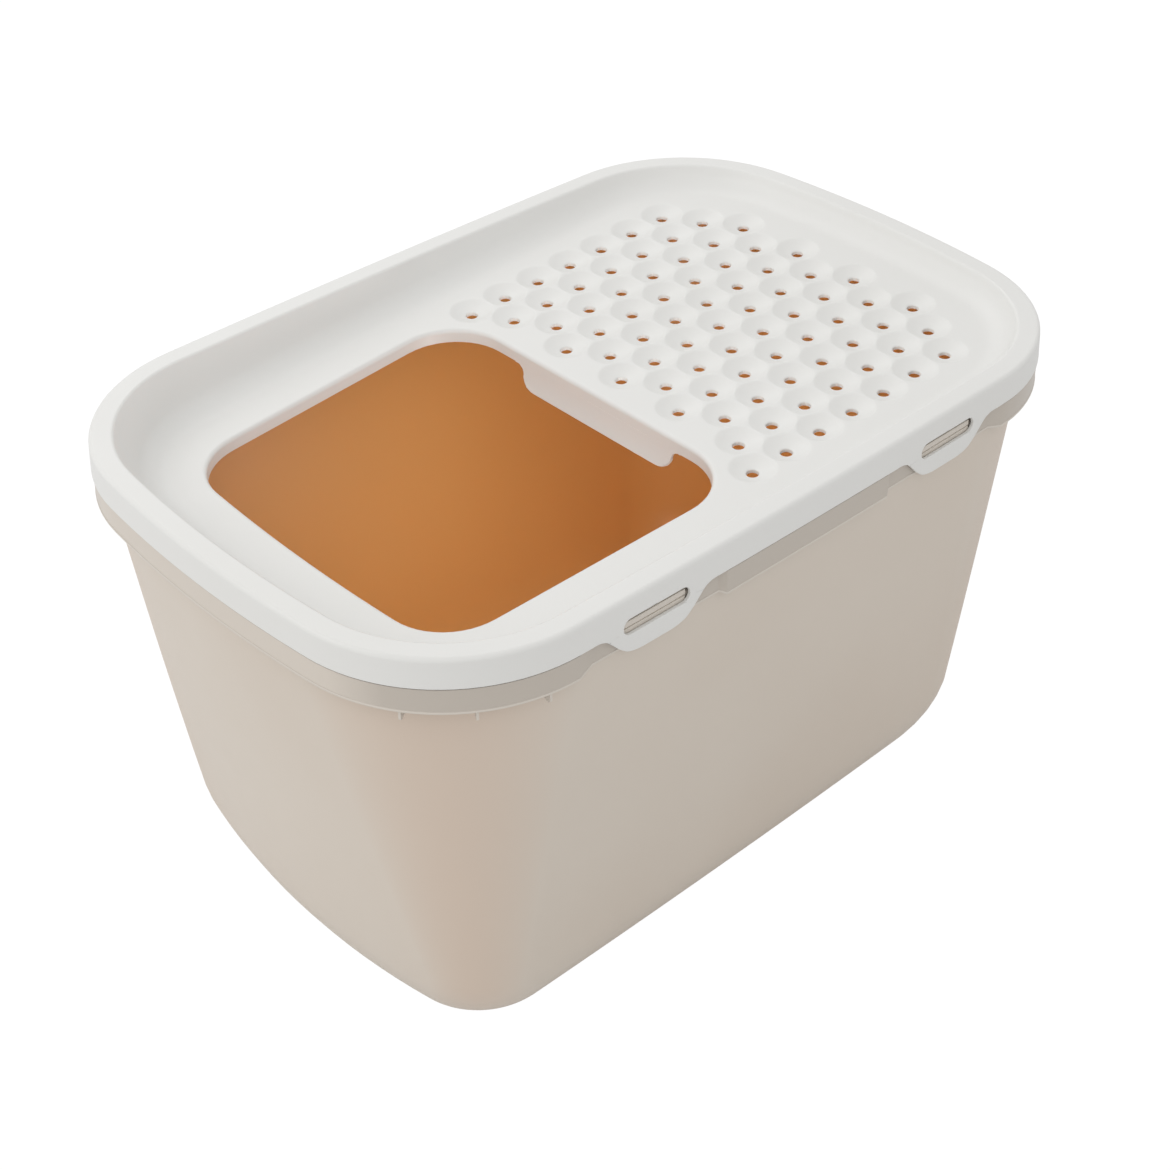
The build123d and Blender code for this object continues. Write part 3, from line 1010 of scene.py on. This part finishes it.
    def settle(self, vertex: bpy.types.MeshVertex) -> None:
        """Moves a point of the level sheet to its true height: the deck's slope first, then the dishes.

        Args:
            vertex: The point, its height counted from the rim.
        """
        x, y, z = vertex.co
        if self.in_pan(self.outline.inset_at(x, y)[0] + self.pan_margin, z):
            lift = self.rise(x, z)
            if lift == self.deck_slope * x:
                lift -= self.dish_drop(x, y)
            z += lift
        vertex.co.z = self.height + z

    def ease_holes(self, shell: bpy.types.Object, upper: int, lower: int, count: int) -> None:
        """Rounds the upper edges of the holes and draws their walls in towards the foot.

        Args:
            shell: The shell, with its thickness.
            upper: Where the points of its outer face start.
            lower: Where the points of its inner face start.
            count: How many points each face has.
        """
        points = shell.data.vertices
        for index in range(count):
            x, y, z = points[upper + index].co
            if z > self.height - self.deck_below or abs(y) > self.outline.half_width - self.rim_width:
                continue
            hx, hy = min(self.holes, key=lambda hole: (x - hole[0]) ** 2 + (y - hole[1]) ** 2)
            edge = math.hypot(x - hx, y - hy) - self.hole_radius
            if edge < TOUCH:
                drawn = (hx + (x - hx) * self.hole_draw, hy + (y - hy) * self.hole_draw)
                points[lower + index].co.xy = drawn
            if edge < self.hole_ease:
                share = 1 - max(edge, 0.0) / self.hole_ease
                points[upper + index].co.z -= self.hole_fall * self.hole_ease * share**2

    def build_shell(self) -> bpy.types.Object:
        """Rim, skirt, pan, perforated deck and rolled opening in one wall.

        Returns:
            The finished shell.
        """
        stops = (TAB_PLACE + self.tab_half, TAB_PLACE - self.tab_half,
                 self.tab_half - TAB_PLACE, -TAB_PLACE - self.tab_half)
        profile = [(-inset, z) for inset, z in self.shell_profile()]
        shell = Bench.sweep("lid_shell", self.outline.contour(*self.steps, stops), profile)
        Bench.clear()
        for vertex in shell.data.vertices:
            self.lean_wall(vertex)
        roll = Bench.sweep("lid_roll", self.entry, self.roll_profile())
        Bench.clear()
        shell = Bench.join("lid_shell", [shell, roll, *self.cells()])
        Bench.edit(shell)
        Bench.merge(FINE_SEAM)
        level = -self.deck_depth
        holes = self.holes
        near_hole = self.hole_radius + self.hole_clear

        def is_deck_edge(edge: bmesh.types.BMEdge) -> bool:
            if not edge.is_boundary or any(abs(v.co.z - level) > TOUCH for v in edge.verts):
                return False
            x, y = edge.verts[0].co.xy
            return all(math.hypot(x - hx, y - hy) > near_hole for hx, hy in holes)

        count = Bench.pick(shell, "EDGE", is_deck_edge)
        bpy.ops.mesh.fill(use_beauty=True)
        bpy.ops.mesh.select_all(action="SELECT")
        bpy.ops.mesh.dissolve_degenerate(threshold=TOUCH)
        log.info("lid deck: %d holes, %d edges filled", len(holes), count)
        Bench.face_out(shell, lambda face: abs(face.calc_center_median().z) < TOUCH, UP)

        def is_tab_cut(face: bmesh.types.BMFace) -> bool:
            middle = face.calc_center_median()
            beside = abs(abs(middle.x) - TAB_PLACE) < self.tab_half
            low = middle.z < -self.tab_root
            return beside and low and self.outline.inset_at(middle.x, middle.y)[0] < self.skirt_reach

        Bench.pick(shell, "FACE", is_tab_cut)
        bpy.ops.mesh.delete(type="FACE")
        Bench.clear()
        for vertex in shell.data.vertices:
            self.settle(vertex)
        count, first = len(shell.data.vertices), shell.data.vertices[0].co.copy()
        Bench.thicken(shell, self.wall)
        kept = (shell.data.vertices[0].co - first).length < 1e-6
        self.ease_holes(shell, 0 if kept else count, count if kept else 0, count)
        Bench.smooth(shell)
        return shell

    def build_apron(self) -> bpy.types.Object:
        """Curved plate that hangs from the lip on the deck side of the opening.

        Returns:
            The finished apron.
        """
        half = self.apron_half_width
        (root_y, root_z), (corner_y, corner_z) = self.apron_root, self.apron_corner
        drop = self.apron_depth - self.lip_depth
        length = self.apron_curve * math.asin(drop / self.apron_curve)
        side = [Vector((0.0, half + root_y - root_y * math.sin(a), -root_z + root_z * math.cos(a)))
                for a in angles(0.0, math.pi / 2, 5)]
        side += [Vector((0.0, half - corner_y + corner_y * math.cos(a),
                         -length + corner_z - corner_z * math.sin(a))) for a in angles(0.0, math.pi / 2, 8)]
        side.insert(0, side[0] + Vector((0.0, 0.0, self.apron_lap)))
        line = side + [Vector((0.0, -spot.y, spot.z)) for spot in reversed(side)] + [side[0]]
        apron = Bench.point("lid_apron", line[0])
        Bench.draw(line)
        Bench.merge()
        bpy.ops.mesh.fill(use_beauty=True)
        for step in range(1, self.apron_rows):
            Bench.cut((0.0, 0.0, -length * step / self.apron_rows), UP)
        Bench.face_out(apron, lambda face: True, Vector((-1.0, 0.0, 0.0)))
        Bench.clear()
        top = self.deck_z(self.entry_back) - self.lip_depth
        for vertex in apron.data.vertices:
            swing = max(-vertex.co.z, 0.0) / self.apron_curve
            vertex.co.x = self.entry_back - self.apron_gap - self.apron_curve * (1 - math.cos(swing))
            vertex.co.y += self.apron_shift
            vertex.co.z = top + max(vertex.co.z, 0.0) - self.apron_curve * math.sin(swing)
        Bench.thicken(apron, self.wall)
        Bench.edit(apron)
        below = top - 0.0002

        def is_rim(edge: bmesh.types.BMEdge) -> bool:
            sharp = len(edge.link_faces) == 2 and edge.calc_face_angle() > SHARP
            return sharp and max(v.co.z for v in edge.verts) < below

        Bench.pick(apron, "EDGE", is_rim)
        bpy.ops.mesh.bevel(offset=self.apron_bevel, segments=3, affect="EDGES")
        Bench.smooth(apron)
        return apron

    def build_tab(self, end: End, side: Side) -> bpy.types.Object:
        """One snap tab: a slotted tongue under the skirt, the part that flexes on the real lid, built here at
        rest.

        Args:
            end: The end that it is towards.
            side: The long side that it is on.

        Returns:
            The finished tab.
        """
        flank = [(self.tab_half, -self.skirt_depth), self.tab_flank[0][0]]
        for (p, m), (q, n) in zip(self.tab_flank, self.tab_flank[1:]):
            for step in range(1, 6):
                t = step / 5
                a, b = 2 * t**3 - 3 * t**2 + 1, t**3 - 2 * t**2 + t
                c, d = -2 * t**3 + 3 * t**2, t**3 - t**2
                flank.append(tuple(a * p[i] + b * m[i] + c * q[i] + d * n[i] for i in (0, 1)))
        half = [(self.tab_half, -self.tab_root), *flank]
        line = [Vector((x, 0.0, z)) for x, z in half]
        line += [Vector((-x, 0.0, z)) for x, z in reversed(half)]
        name = f"tab_{side.name.lower()}_{end.name.lower()}"
        tab = Bench.point(name, line[0])
        Bench.draw(line + [line[0]])
        slot_half = self.slot_half
        Bench.another_point(Vector((slot_half, 0.0, -self.skirt_depth - self.slot_radius)))
        for sign in (1.0, -1.0):
            centre = (sign * slot_half, 0.0, -self.skirt_depth)
            bpy.ops.mesh.spin(steps=self.slot_steps, angle=math.pi, center=centre, axis=(0.0, 1.0, 0.0))
            Bench.extrude((-2 * sign * slot_half, 0.0, 0.0))
        Bench.merge(TOUCH)
        bpy.ops.mesh.fill(use_beauty=True)
        for z in self.tab_cuts:
            Bench.cut((0.0, 0.0, z), UP)
        for step in range(1, 2 * self.tab_columns):
            Bench.cut((self.tab_half * (step / self.tab_columns - 1), 0.0, 0.0), (1.0, 0.0, 0.0))
        outward = Vector((0.0, side.value, 0.0))
        Bench.face_out(tab, lambda face: True, outward)
        Bench.clear()
        for vertex in tab.data.vertices:
            x, z = vertex.co.x + end.value * TAB_PLACE, vertex.co.z
            inset = max(self.skirt_draft * (z + self.skirt_depth) / self.skirt_depth, 0.0)
            vertex.co = Vector((x, side.value * (self.outline.side_y(x) - inset), self.height + z))
        Bench.thicken(tab, self.skirt_wall)
        Bench.edit(tab)
        seam_z, shoulder_z = self.height - self.tab_root - TOUCH, self.height - self.skirt_depth + 1e-4

        def is_tab_edge(edge: bmesh.types.BMEdge) -> bool:
            if len(edge.link_faces) != 2 or edge.calc_face_angle() < SHARP:
                return False
            if min(v.co.z for v in edge.verts) > seam_z:
                return False
            offsets = [abs(v.co.x - end.value * TAB_PLACE) for v in edge.verts]
            outer = all(abs(offset - self.tab_half) < 1e-4 for offset in offsets)
            return not (outer and max(v.co.z for v in edge.verts) > shoulder_z)

        Bench.pick(tab, "EDGE", is_tab_edge)
        bpy.ops.mesh.bevel(offset=self.tab_bevel, segments=2, affect="EDGES")
        Bench.smooth(tab)
        return tab

    def dress(self) -> None:
        """Builds the lid's pieces and gives them their finish; the shell and apron hang on the lid's body,
        the tabs stay at their places in the scene.
        """
        white = LID_WHITE.material()
        shell, apron = self.build_shell(), self.build_apron()
        for piece in (shell, apron):
            piece.data.materials.append(white)
            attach(piece, "lid")
            report(piece)
        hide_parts("lid")
        for side in Side:
            for end in End:
                tab = self.build_tab(end, side)
                tab.data.materials.append(white)
                node = f"snap_tab_{side.name.lower()}_{end.name.lower()}"
                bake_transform(tab)
                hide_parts(node)
                report(tab)


@dataclass
class Tub:
    """The tapered tub: rounded foot, leaning walls, rim flange, gusset ribs and catch ribs."""

    top: float = 0.3722
    wall: float = 0.0025
    outline: BowedOutline = BowedOutline(0.2877, 0.1902, 0.0215, 0.005, 0.124)
    rim_outline: BowedOutline = RIM
    rim_low: float = 0.356
    rim_gap: float = 0.0002
    base_insets: tuple[float, float, float] = (0.010, 0.0012, 0.004)
    wall_steps: int = 7
    end_lean: float = math.radians(7.9)
    side_lean: float = math.radians(7.0)
    foot_end_bow: float = 0.023
    foot_side_bow: float = 0.003
    foot_corner: float = 0.051
    base_round: float = 0.099
    base_corner: float = 0.060
    base_bow_share: float = 0.5
    base_corner_limit: float = 0.95
    base_steps: int = 14
    base_panel: float = 0.0008
    flange_bottom: float = 0.341
    flange_wall: float = 0.0024
    flange_inset: float = 0.0046
    flange_round: float = 0.0014
    flange_lap: float = 0.0030
    band_top: float = 0.3548
    band_inset: float = 0.0006
    band_wall: float = 0.0020
    band_bead: float = 0.0004
    band_round: float = 0.0005
    painted_highlight_top: float = 0.0018
    bead_reach: float = 0.0025
    band_drop: float = 0.0030
    band_lift: float = 0.0022
    band_recess: float = 0.0028
    band_recess_ends: tuple[Place, Place] = ((0.069, 0.073), (0.174, 0.180))
    gusset_swings: tuple[float, ...] = (11.0, 33.0, 55.0)
    gusset_thickness: float = 0.0016
    gusset_drop: float = 0.0105
    gusset_chamfer: float = 0.0015
    gusset_short: float = 0.0045
    gusset_depth: float = 0.02
    gusset_root: float = 0.019
    gusset_bevel: float = 0.00025
    gusset_sink: float = 0.55
    catch_half: float = 0.0236
    catch_thickness: float = 0.0038
    catch_spacing: float = 0.0045
    catch_z: float = 0.3532
    catch_inset: float = 0.0026
    catch_lap: float = 0.001
    catch_bevel: float = 0.0004
    steps: tuple[int, int, int] = (14, 22, 10)

    @property
    def lean(self) -> float:
        """Mean lean of the walls."""
        return (self.end_lean + self.side_lean) / 2

    def base_ring(self, share_of_turn: float) -> tuple[BowedOutline, float]:
        """One ring of the round between the wall and the base.

        Args:
            share_of_turn: 0 at the wall, 1 on the base.

        Returns:
            The ring's outline and its height.
        """
        foot_z = self.base_round * (1 - math.sin(self.lean))
        angle = self.lean + (math.pi / 2 - self.lean) * share_of_turn
        share = 1 - math.cos(angle) / math.cos(self.lean)
        drawn_in = self.base_round * share * math.cos(self.lean)
        fall = self.flange_bottom - foot_z
        half_length = self.outline.half_length - fall * math.tan(self.end_lean) - drawn_in
        half_width = self.outline.half_width - fall * math.tan(self.side_lean) - drawn_in
        corner = self.foot_corner + (self.base_corner - self.foot_corner) * share
        corner = min(corner, self.base_corner_limit * half_width)
        bow = 1 - (1 - self.base_bow_share) * share
        bows = self.foot_end_bow * bow, self.foot_side_bow * bow
        return BowedOutline(half_length, half_width, *bows, corner), self.base_round * (1 - math.sin(angle))

    def wall_ring(self, share: float) -> tuple[BowedOutline, float]:
        """One ring of the leaning wall.

        Args:
            share: 0 at the foot, 1 under the flange.

        Returns:
            The ring's outline and its height.
        """
        foot, z = self.base_ring(0.0)
        names = ("half_length", "half_width", "end_bow", "side_bow", "corner")
        sizes = [getattr(foot, n) + (getattr(self.outline, n) - getattr(foot, n)) * share for n in names]
        return BowedOutline(*sizes), z + (self.flange_bottom - z) * share

    def build_shell(self) -> bpy.types.Object:
        """Base and walls in one sheet with its thickness inwards, its inner faces painted caramel as the warm
        glow of light inside the tub.

        Returns:
            The finished shell.
        """
        rings = [self.base_ring(1 - step / self.base_steps) for step in range(self.base_steps)]
        rings += [self.wall_ring(step / self.wall_steps) for step in range(self.wall_steps + 1)]
        rings += [(self.outline, self.rim_low), (self.outline, self.top - self.rim_gap)]
        shell = Bench.stack("tub_shell", [(outline, 0.0, z) for outline, z in rings], self.steps)
        Bench.pick(shell, "EDGE", lambda edge: all(v.co.z < 1e-6 for v in edge.verts))
        bpy.ops.mesh.edge_face_add()
        bpy.ops.mesh.select_mode(type="FACE")
        border, step, inner = self.base_insets
        bpy.ops.mesh.inset(thickness=border)
        bpy.ops.mesh.inset(thickness=step)
        bpy.ops.transform.translate(value=(0.0, 0.0, self.base_panel))
        bpy.ops.mesh.inset(thickness=inner)
        Bench.face_out(shell, lambda face: all(v.co.z < 0.002 for v in face.verts), -UP)
        Bench.clear()
        # The inner faces take the caramel: painted warm glow of light inside the tub.
        for finish in (TUB_TAUPE, TUB_CARAMEL_PAINTED_GLOW):
            shell.data.materials.append(finish.material())
        Bench.thicken(shell, self.wall, material_offset=1)
        Bench.smooth(shell)
        return shell

    def build_flange(self) -> bpy.types.Object:
        """Top plate of the rim and the upright wall that the lid's skirt goes over.

        Returns:
            The finished flange.
        """
        rim, top, r = self.rim_outline, self.top, self.flange_round
        rings = [(self.outline, self.wall + 0.00005, top)]
        rings += [(rim, self.flange_inset + r - r * math.sin(a), top - r + r * math.cos(a))
                  for a in angles(0.0, math.pi / 2, 4)]
        rings.append((rim, self.flange_inset, self.band_top - self.flange_lap))
        flange = Bench.stack("tub_flange", rings, self.steps)
        Bench.face_out(flange, lambda face: all(v.co.z > top - TOUCH for v in face.verts), UP)
        Bench.clear()
        # The rim finish is the tub's plastic darkened as painted shade under the lid's skirt, except on faces
        # turned to the ends.
        flange.data.materials.append(RIM_TAUPE_PAINTED_SHADE.material())
        Bench.thicken(flange, self.flange_wall)
        Bench.smooth(flange)
        return flange

    def recess(self, x: float, y: float) -> float:
        """How far the band is drawn in at a place, to let a tab hang in front of it.

        Args:
            x: Place along the length.
            y: Place across the width.

        Returns:
            The recess, full behind a tab and none round the ends.
        """
        if abs(y) < 0.1:
            return 0.0
        (low, low_end), (high, high_end) = self.band_recess_ends
        rise = min(max((abs(x) - low) / (low_end - low), 0.0), 1.0)
        fall = min(max((high_end - abs(x)) / (high_end - high), 0.0), 1.0)
        share = min(rise, fall)
        return self.band_recess * share * share * (3 - 2 * share)

    def build_band(self) -> bpy.types.Object:
        """Band under the lid's skirt, flush with it, with a bead at its foot whose lower faces take the paler
        rib finish as a painted highlight line.

        Returns:
            The finished band.
        """
        top, low = self.band_top, self.flange_bottom - self.band_drop
        inset, bead, r = self.band_inset, self.band_bead, self.band_round
        profile = [
            (-self.flange_inset - self.flange_round, top), (-inset - r, top),
            (-inset - 0.3 * r, top - 0.3 * r),
            (-inset, top - r), (-inset, low + 0.0080), (-inset, low + 0.0020),
            (-inset + 0.7 * bead, low + 0.0016), (-inset + bead, low + 0.0011), (-inset + bead, low + 0.0006),
            (-inset + 0.6 * bead, low + 0.0002), (-inset, low)]
        inner, outer = self.band_recess_ends[0]
        stops = (outer, 0.5 * (inner + outer), inner)
        stops += tuple(-x for x in reversed(stops))
        band = Bench.sweep("tub_band", self.rim_outline.contour(*self.steps, stops), profile)
        Bench.face_out(band, lambda face: all(v.co.z > top - TOUCH for v in face.verts), UP)
        Bench.clear()
        # The band takes the rim finish with its painted shade under the lid's skirt.
        for finish in (RIM_TAUPE_PAINTED_SHADE, RIB_TAUPE_AND_HIGHLIGHT):
            band.data.materials.append(finish.material())
        # The bead's lower faces take the paler finish: a painted highlight line.
        for face in band.data.polygons:
            face.material_index = int(face.center.z < low + self.painted_highlight_top)
        for vertex in band.data.vertices:
            recess = self.recess(vertex.co.x, vertex.co.y)
            if self.rim_outline.inset_at(vertex.co.x, vertex.co.y)[0] < self.flange_inset:
                vertex.co.y -= math.copysign(recess, vertex.co.y)
            if vertex.co.z < low + self.bead_reach:
                vertex.co.z += self.band_lift * recess / self.band_recess
        Bench.thicken(band, self.band_wall)
        Bench.smooth(band)
        return band

    def block(self, name: str, low: Vector, high: Vector) -> bpy.types.Object:
        """A block between two corners, to be shaped further.

        Args:
            name: The piece's name.
            low: Its lowest corner.
            high: Its highest corner.

        Returns:
            The block, with its place in its mesh.
        """
        Bench.clear()
        bpy.ops.mesh.primitive_cube_add(size=1.0, location=(low + high) / 2)
        piece = bpy.context.object
        piece.scale = high - low
        piece.name = piece.data.name = name
        bpy.ops.object.transform_apply(location=True, rotation=True, scale=True)
        return piece

    def build_gussets(self) -> bpy.types.Object:
        """Thin upright ribs under the flange round each corner.

        Returns:
            All the ribs as one piece.
        """
        centre = self.rim_outline.corner_centre
        tip = self.rim_outline.corner - self.band_inset - self.band_wall / 2
        bottom, high = self.flange_bottom - self.gusset_drop, self.band_top - self.band_wall / 2
        half, root_end = self.gusset_thickness / 2, tip - self.gusset_root
        low = Vector((tip - self.gusset_depth, -half, bottom))
        model = self.block("gusset", low, Vector((tip, half, high)))
        Bench.edit(model)

        def is_lower_tip(edge: bmesh.types.BMEdge) -> bool:
            return all(v.co.x > tip - TOUCH and v.co.z < bottom + TOUCH for v in edge.verts)

        def is_free(edge: bmesh.types.BMEdge) -> bool:
            return edge.calc_face_angle() > 0.5 and min(v.co.x for v in edge.verts) > root_end

        Bench.pick(model, "EDGE", is_lower_tip)
        bpy.ops.mesh.bevel(offset=self.gusset_chamfer, segments=1, affect="EDGES")
        Bench.pick(model, "EDGE", is_free)
        bpy.ops.mesh.bevel(offset=self.gusset_bevel, segments=2, affect="EDGES")
        Bench.clear()
        ribs = []
        for end in End:
            for side in Side:
                for swing in map(math.radians, self.gusset_swings):
                    way = Vector((end.value * math.sin(swing), side.value * math.cos(swing)))
                    root = Vector((end.value * centre.x, side.value * centre.y))
                    inner = tip
                    while self.outline.inset_at(*(root + way * inner))[0] < self.wall * self.gusset_sink:
                        inner -= 0.0002
                    rib = Bench.twin(model)
                    for vertex in rib.data.vertices:
                        if vertex.co.x < root_end:
                            vertex.co.x = inner
                        if end is End.RIGHT and vertex.co.z < self.flange_bottom - self.band_drop:
                            vertex.co.z += self.gusset_short
                    turn = Matrix.Rotation(math.atan2(way.y, way.x), 4, "Z")
                    rib.data.transform(Matrix.Translation((root.x, root.y, 0.0)) @ turn)
                    ribs.append(rib)
        bpy.data.objects.remove(model)
        made = Bench.join("tub_gussets", ribs)
        made.data.materials.append(RIB_TAUPE_AND_HIGHLIGHT.material())
        Bench.smooth(made)
        return made

    def build_catch_ribs(self) -> bpy.types.Object:
        """Pairs of low bars on the flange that the slots of the tabs catch on.

        Returns:
            All the bars as one piece.
        """
        half, thick = self.catch_half, self.catch_thickness / 2
        reach = self.rim_outline.half_width
        face = reach - self.catch_inset
        low = Vector((-half, reach - self.flange_inset - self.catch_lap, -thick))
        model = self.block("catch_rib", low, Vector((half, face, thick)))
        Bench.edit(model)
        Bench.pick(model, "EDGE", lambda edge: max(v.co.y for v in edge.verts) > face - TOUCH)
        bpy.ops.mesh.bevel(offset=self.catch_bevel, segments=3, affect="EDGES")
        for step in range(1, 6):
            Bench.cut((half * (step / 3 - 1), 0.0, 0.0), (1.0, 0.0, 0.0))
        Bench.clear()
        bars = []
        for end in End:
            for side in Side:
                for step in (-0.5, 0.5):
                    bar = Bench.twin(model)
                    for vertex in bar.data.vertices:
                        x = vertex.co.x * side.value * -1 + end.value * TAB_PLACE
                        y = side.value * (vertex.co.y - reach + self.rim_outline.side_y(x))
                        vertex.co = Vector((x, y, vertex.co.z + self.catch_z + step * self.catch_spacing))
                    bars.append(bar)
        bpy.data.objects.remove(model)
        made = Bench.join("tub_catch_ribs", bars)
        Bench.edit(made)
        bpy.ops.mesh.normals_make_consistent(inside=False)
        Bench.clear()
        made.data.materials.append(RIB_TAUPE_AND_HIGHLIGHT.material())
        Bench.smooth(made)
        return made

    def dress(self) -> None:
        """Builds the tub's pieces, gives them their finish and sets them on their body."""
        builders = (
            self.build_shell, self.build_flange, self.build_band, self.build_gussets, self.build_catch_ribs)
        pieces = [build() for build in builders]
        for piece in pieces:
            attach(piece, "tub")
            report(piece)
        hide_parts("tub")


@dataclass
class Studio:
    """Plain pale floor, even world light, soft lamps and the camera."""

    camera_place: tuple[float, float, float] = (-0.7623, -0.8263, 1.0598)
    azimuth: float = math.radians(-42.749)
    elevation: float = math.radians(37.387)
    roll: float = math.radians(-0.416)
    lens: float = 64.4
    sensor: float = 36.0
    sight: float = 50.0
    world_level: float = 0.75
    floor_size: float = 9.0
    floor_drop: float = 0.0002
    floor_grey: float = 0.82
    floor_roughness: float = 0.9
    floor_glow: float = 1.05
    floor_show: float = 0.94
    aim: Vector = field(default_factory=lambda: Vector((0.0, 0.0, 0.25)))

    def build_world(self) -> None:
        """Even light all round, shown as white to the camera and in reflections."""
        world = bpy.data.worlds.new("studio_world")
        bpy.context.scene.world = world
        graph = Graph(world)
        nodes, white = world.node_tree.nodes, (1.0, 1.0, 1.0, 1.0)
        graph.feed(nodes["Background"], {"Color": white, "Strength": self.world_level})
        shown = graph.add("Background", {"Color": white, "Strength": 1.0})
        path = graph.add("LightPath", {})
        seen = path["Is Camera Ray"]
        for ray in ("Is Transmission Ray", "Is Glossy Ray"):
            seen = graph.add("Math", {0: seen, 1: path[ray]}, operation="MAXIMUM")[0]
        mix = graph.add("MixShader", {"Fac": seen, 1: nodes["Background"].outputs[0], 2: shown[0]})
        graph.feed(nodes["World Output"], {"Surface": mix[0]})

    def build_floor(self) -> None:
        """Pale floor that the camera sees as nearly white, with the object's shadow kept."""
        Bench.clear()
        bpy.ops.mesh.primitive_plane_add(size=self.floor_size, location=(0.0, 0.0, -self.floor_drop))
        floor = bpy.context.object
        floor.name = "studio_floor"
        made = bpy.data.materials.new("studio_floor_white")
        graph = Graph(made)
        nodes, grey = made.node_tree.nodes, (self.floor_grey,) * 3
        shader = nodes["Principled BSDF"]
        graph.feed(shader, {"Base Color": (*grey, 1.0), "Roughness": self.floor_roughness})
        glow = graph.add("Emission", {"Strength": self.floor_glow})
        seen = graph.add("LightPath", {})["Is Camera Ray"]
        share = graph.add("Math", {0: seen, 1: self.floor_show}, operation="MULTIPLY")
        mix = graph.add("MixShader", {"Fac": share[0], 1: shader.outputs[0], 2: glow[0]})
        graph.feed(nodes["Material Output"], {"Surface": mix[0]})
        floor.data.materials.append(made)

    def lamp(
        self, name: str, place: Place3, size: float, power: float, aim: Vector | None = None
    ) -> bpy.types.Object:
        """A soft round lamp.

        Args:
            name: The lamp's name.
            place: Where it hangs.
            size: Its width.
            power: Its power.
            aim: What it is turned towards, or None for the box.

        Returns:
            The lamp.
        """
        data = bpy.data.lights.new(name, "AREA")
        data.shape = "DISK"
        data.size = size
        data.energy = power
        lamp = bpy.data.objects.new(name, data)
        bpy.context.scene.collection.objects.link(lamp)
        lamp.location = place
        lamp.rotation_euler = ((aim or self.aim) - Vector(place)).to_track_quat("-Z", "Y").to_euler()
        return lamp

    def build_camera(self) -> None:
        """The camera, at its place and turn."""
        a, e = self.azimuth, self.elevation
        back = Vector((math.sin(a) * math.cos(e), -math.cos(a) * math.cos(e), math.sin(e)))
        right = (-back).cross(UP).normalized()
        up = back.cross(right)
        turned = right * math.cos(self.roll) + up * math.sin(self.roll)
        upright = up * math.cos(self.roll) - right * math.sin(self.roll)
        data = bpy.data.cameras.new("studio_camera")
        data.lens = self.lens
        data.sensor_width = self.sensor
        data.clip_end = self.sight
        camera = bpy.data.objects.new("studio_camera", data)
        bpy.context.scene.collection.objects.link(camera)
        turn = Matrix((turned, upright, back)).transposed().to_4x4()
        camera.matrix_world = Matrix.Translation(self.camera_place) @ turn
        bpy.context.scene.camera = camera

    def build(self) -> None:
        """Sets the whole studio."""
        bpy.context.scene.view_settings.view_transform = "Standard"
        self.build_world()
        self.build_floor()
        self.lamp("soft_rear", (0.6, 1.6, 2.0), 1.6, 6.6)
        self.lamp("soft_left", (-1.7, 0.9, 2.1), 1.6, 10.5)
        self.lamp("low_left", (-2.2, -0.2, 1.0), 1.4, 2.1)
        far_inner_wall = Vector((0.090, 0.170, 0.180))
        self.lamp("inner_glow", (-0.030, -0.110, 0.210), 0.10, 0.275, far_inner_wall).visible_camera = False
        self.lamp("soft_front", (-1.3, -1.5, 2.2), 1.2, 2.6)
        self.build_camera()


def report(piece: bpy.types.Object) -> None:
    """Logs a piece's size in faces."""
    log.info("%s: %d vertices, %d faces", piece.name, len(piece.data.vertices), len(piece.data.polygons))


def main() -> None:
    """Builds the tub, the lid and the studio."""
    logging.basicConfig(level=logging.INFO, format="%(message)s")
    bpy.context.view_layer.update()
    Tub().dress()
    Lid().dress()
    Studio().build()
    Bench.clear()


if __name__ == "__main__":
    main()
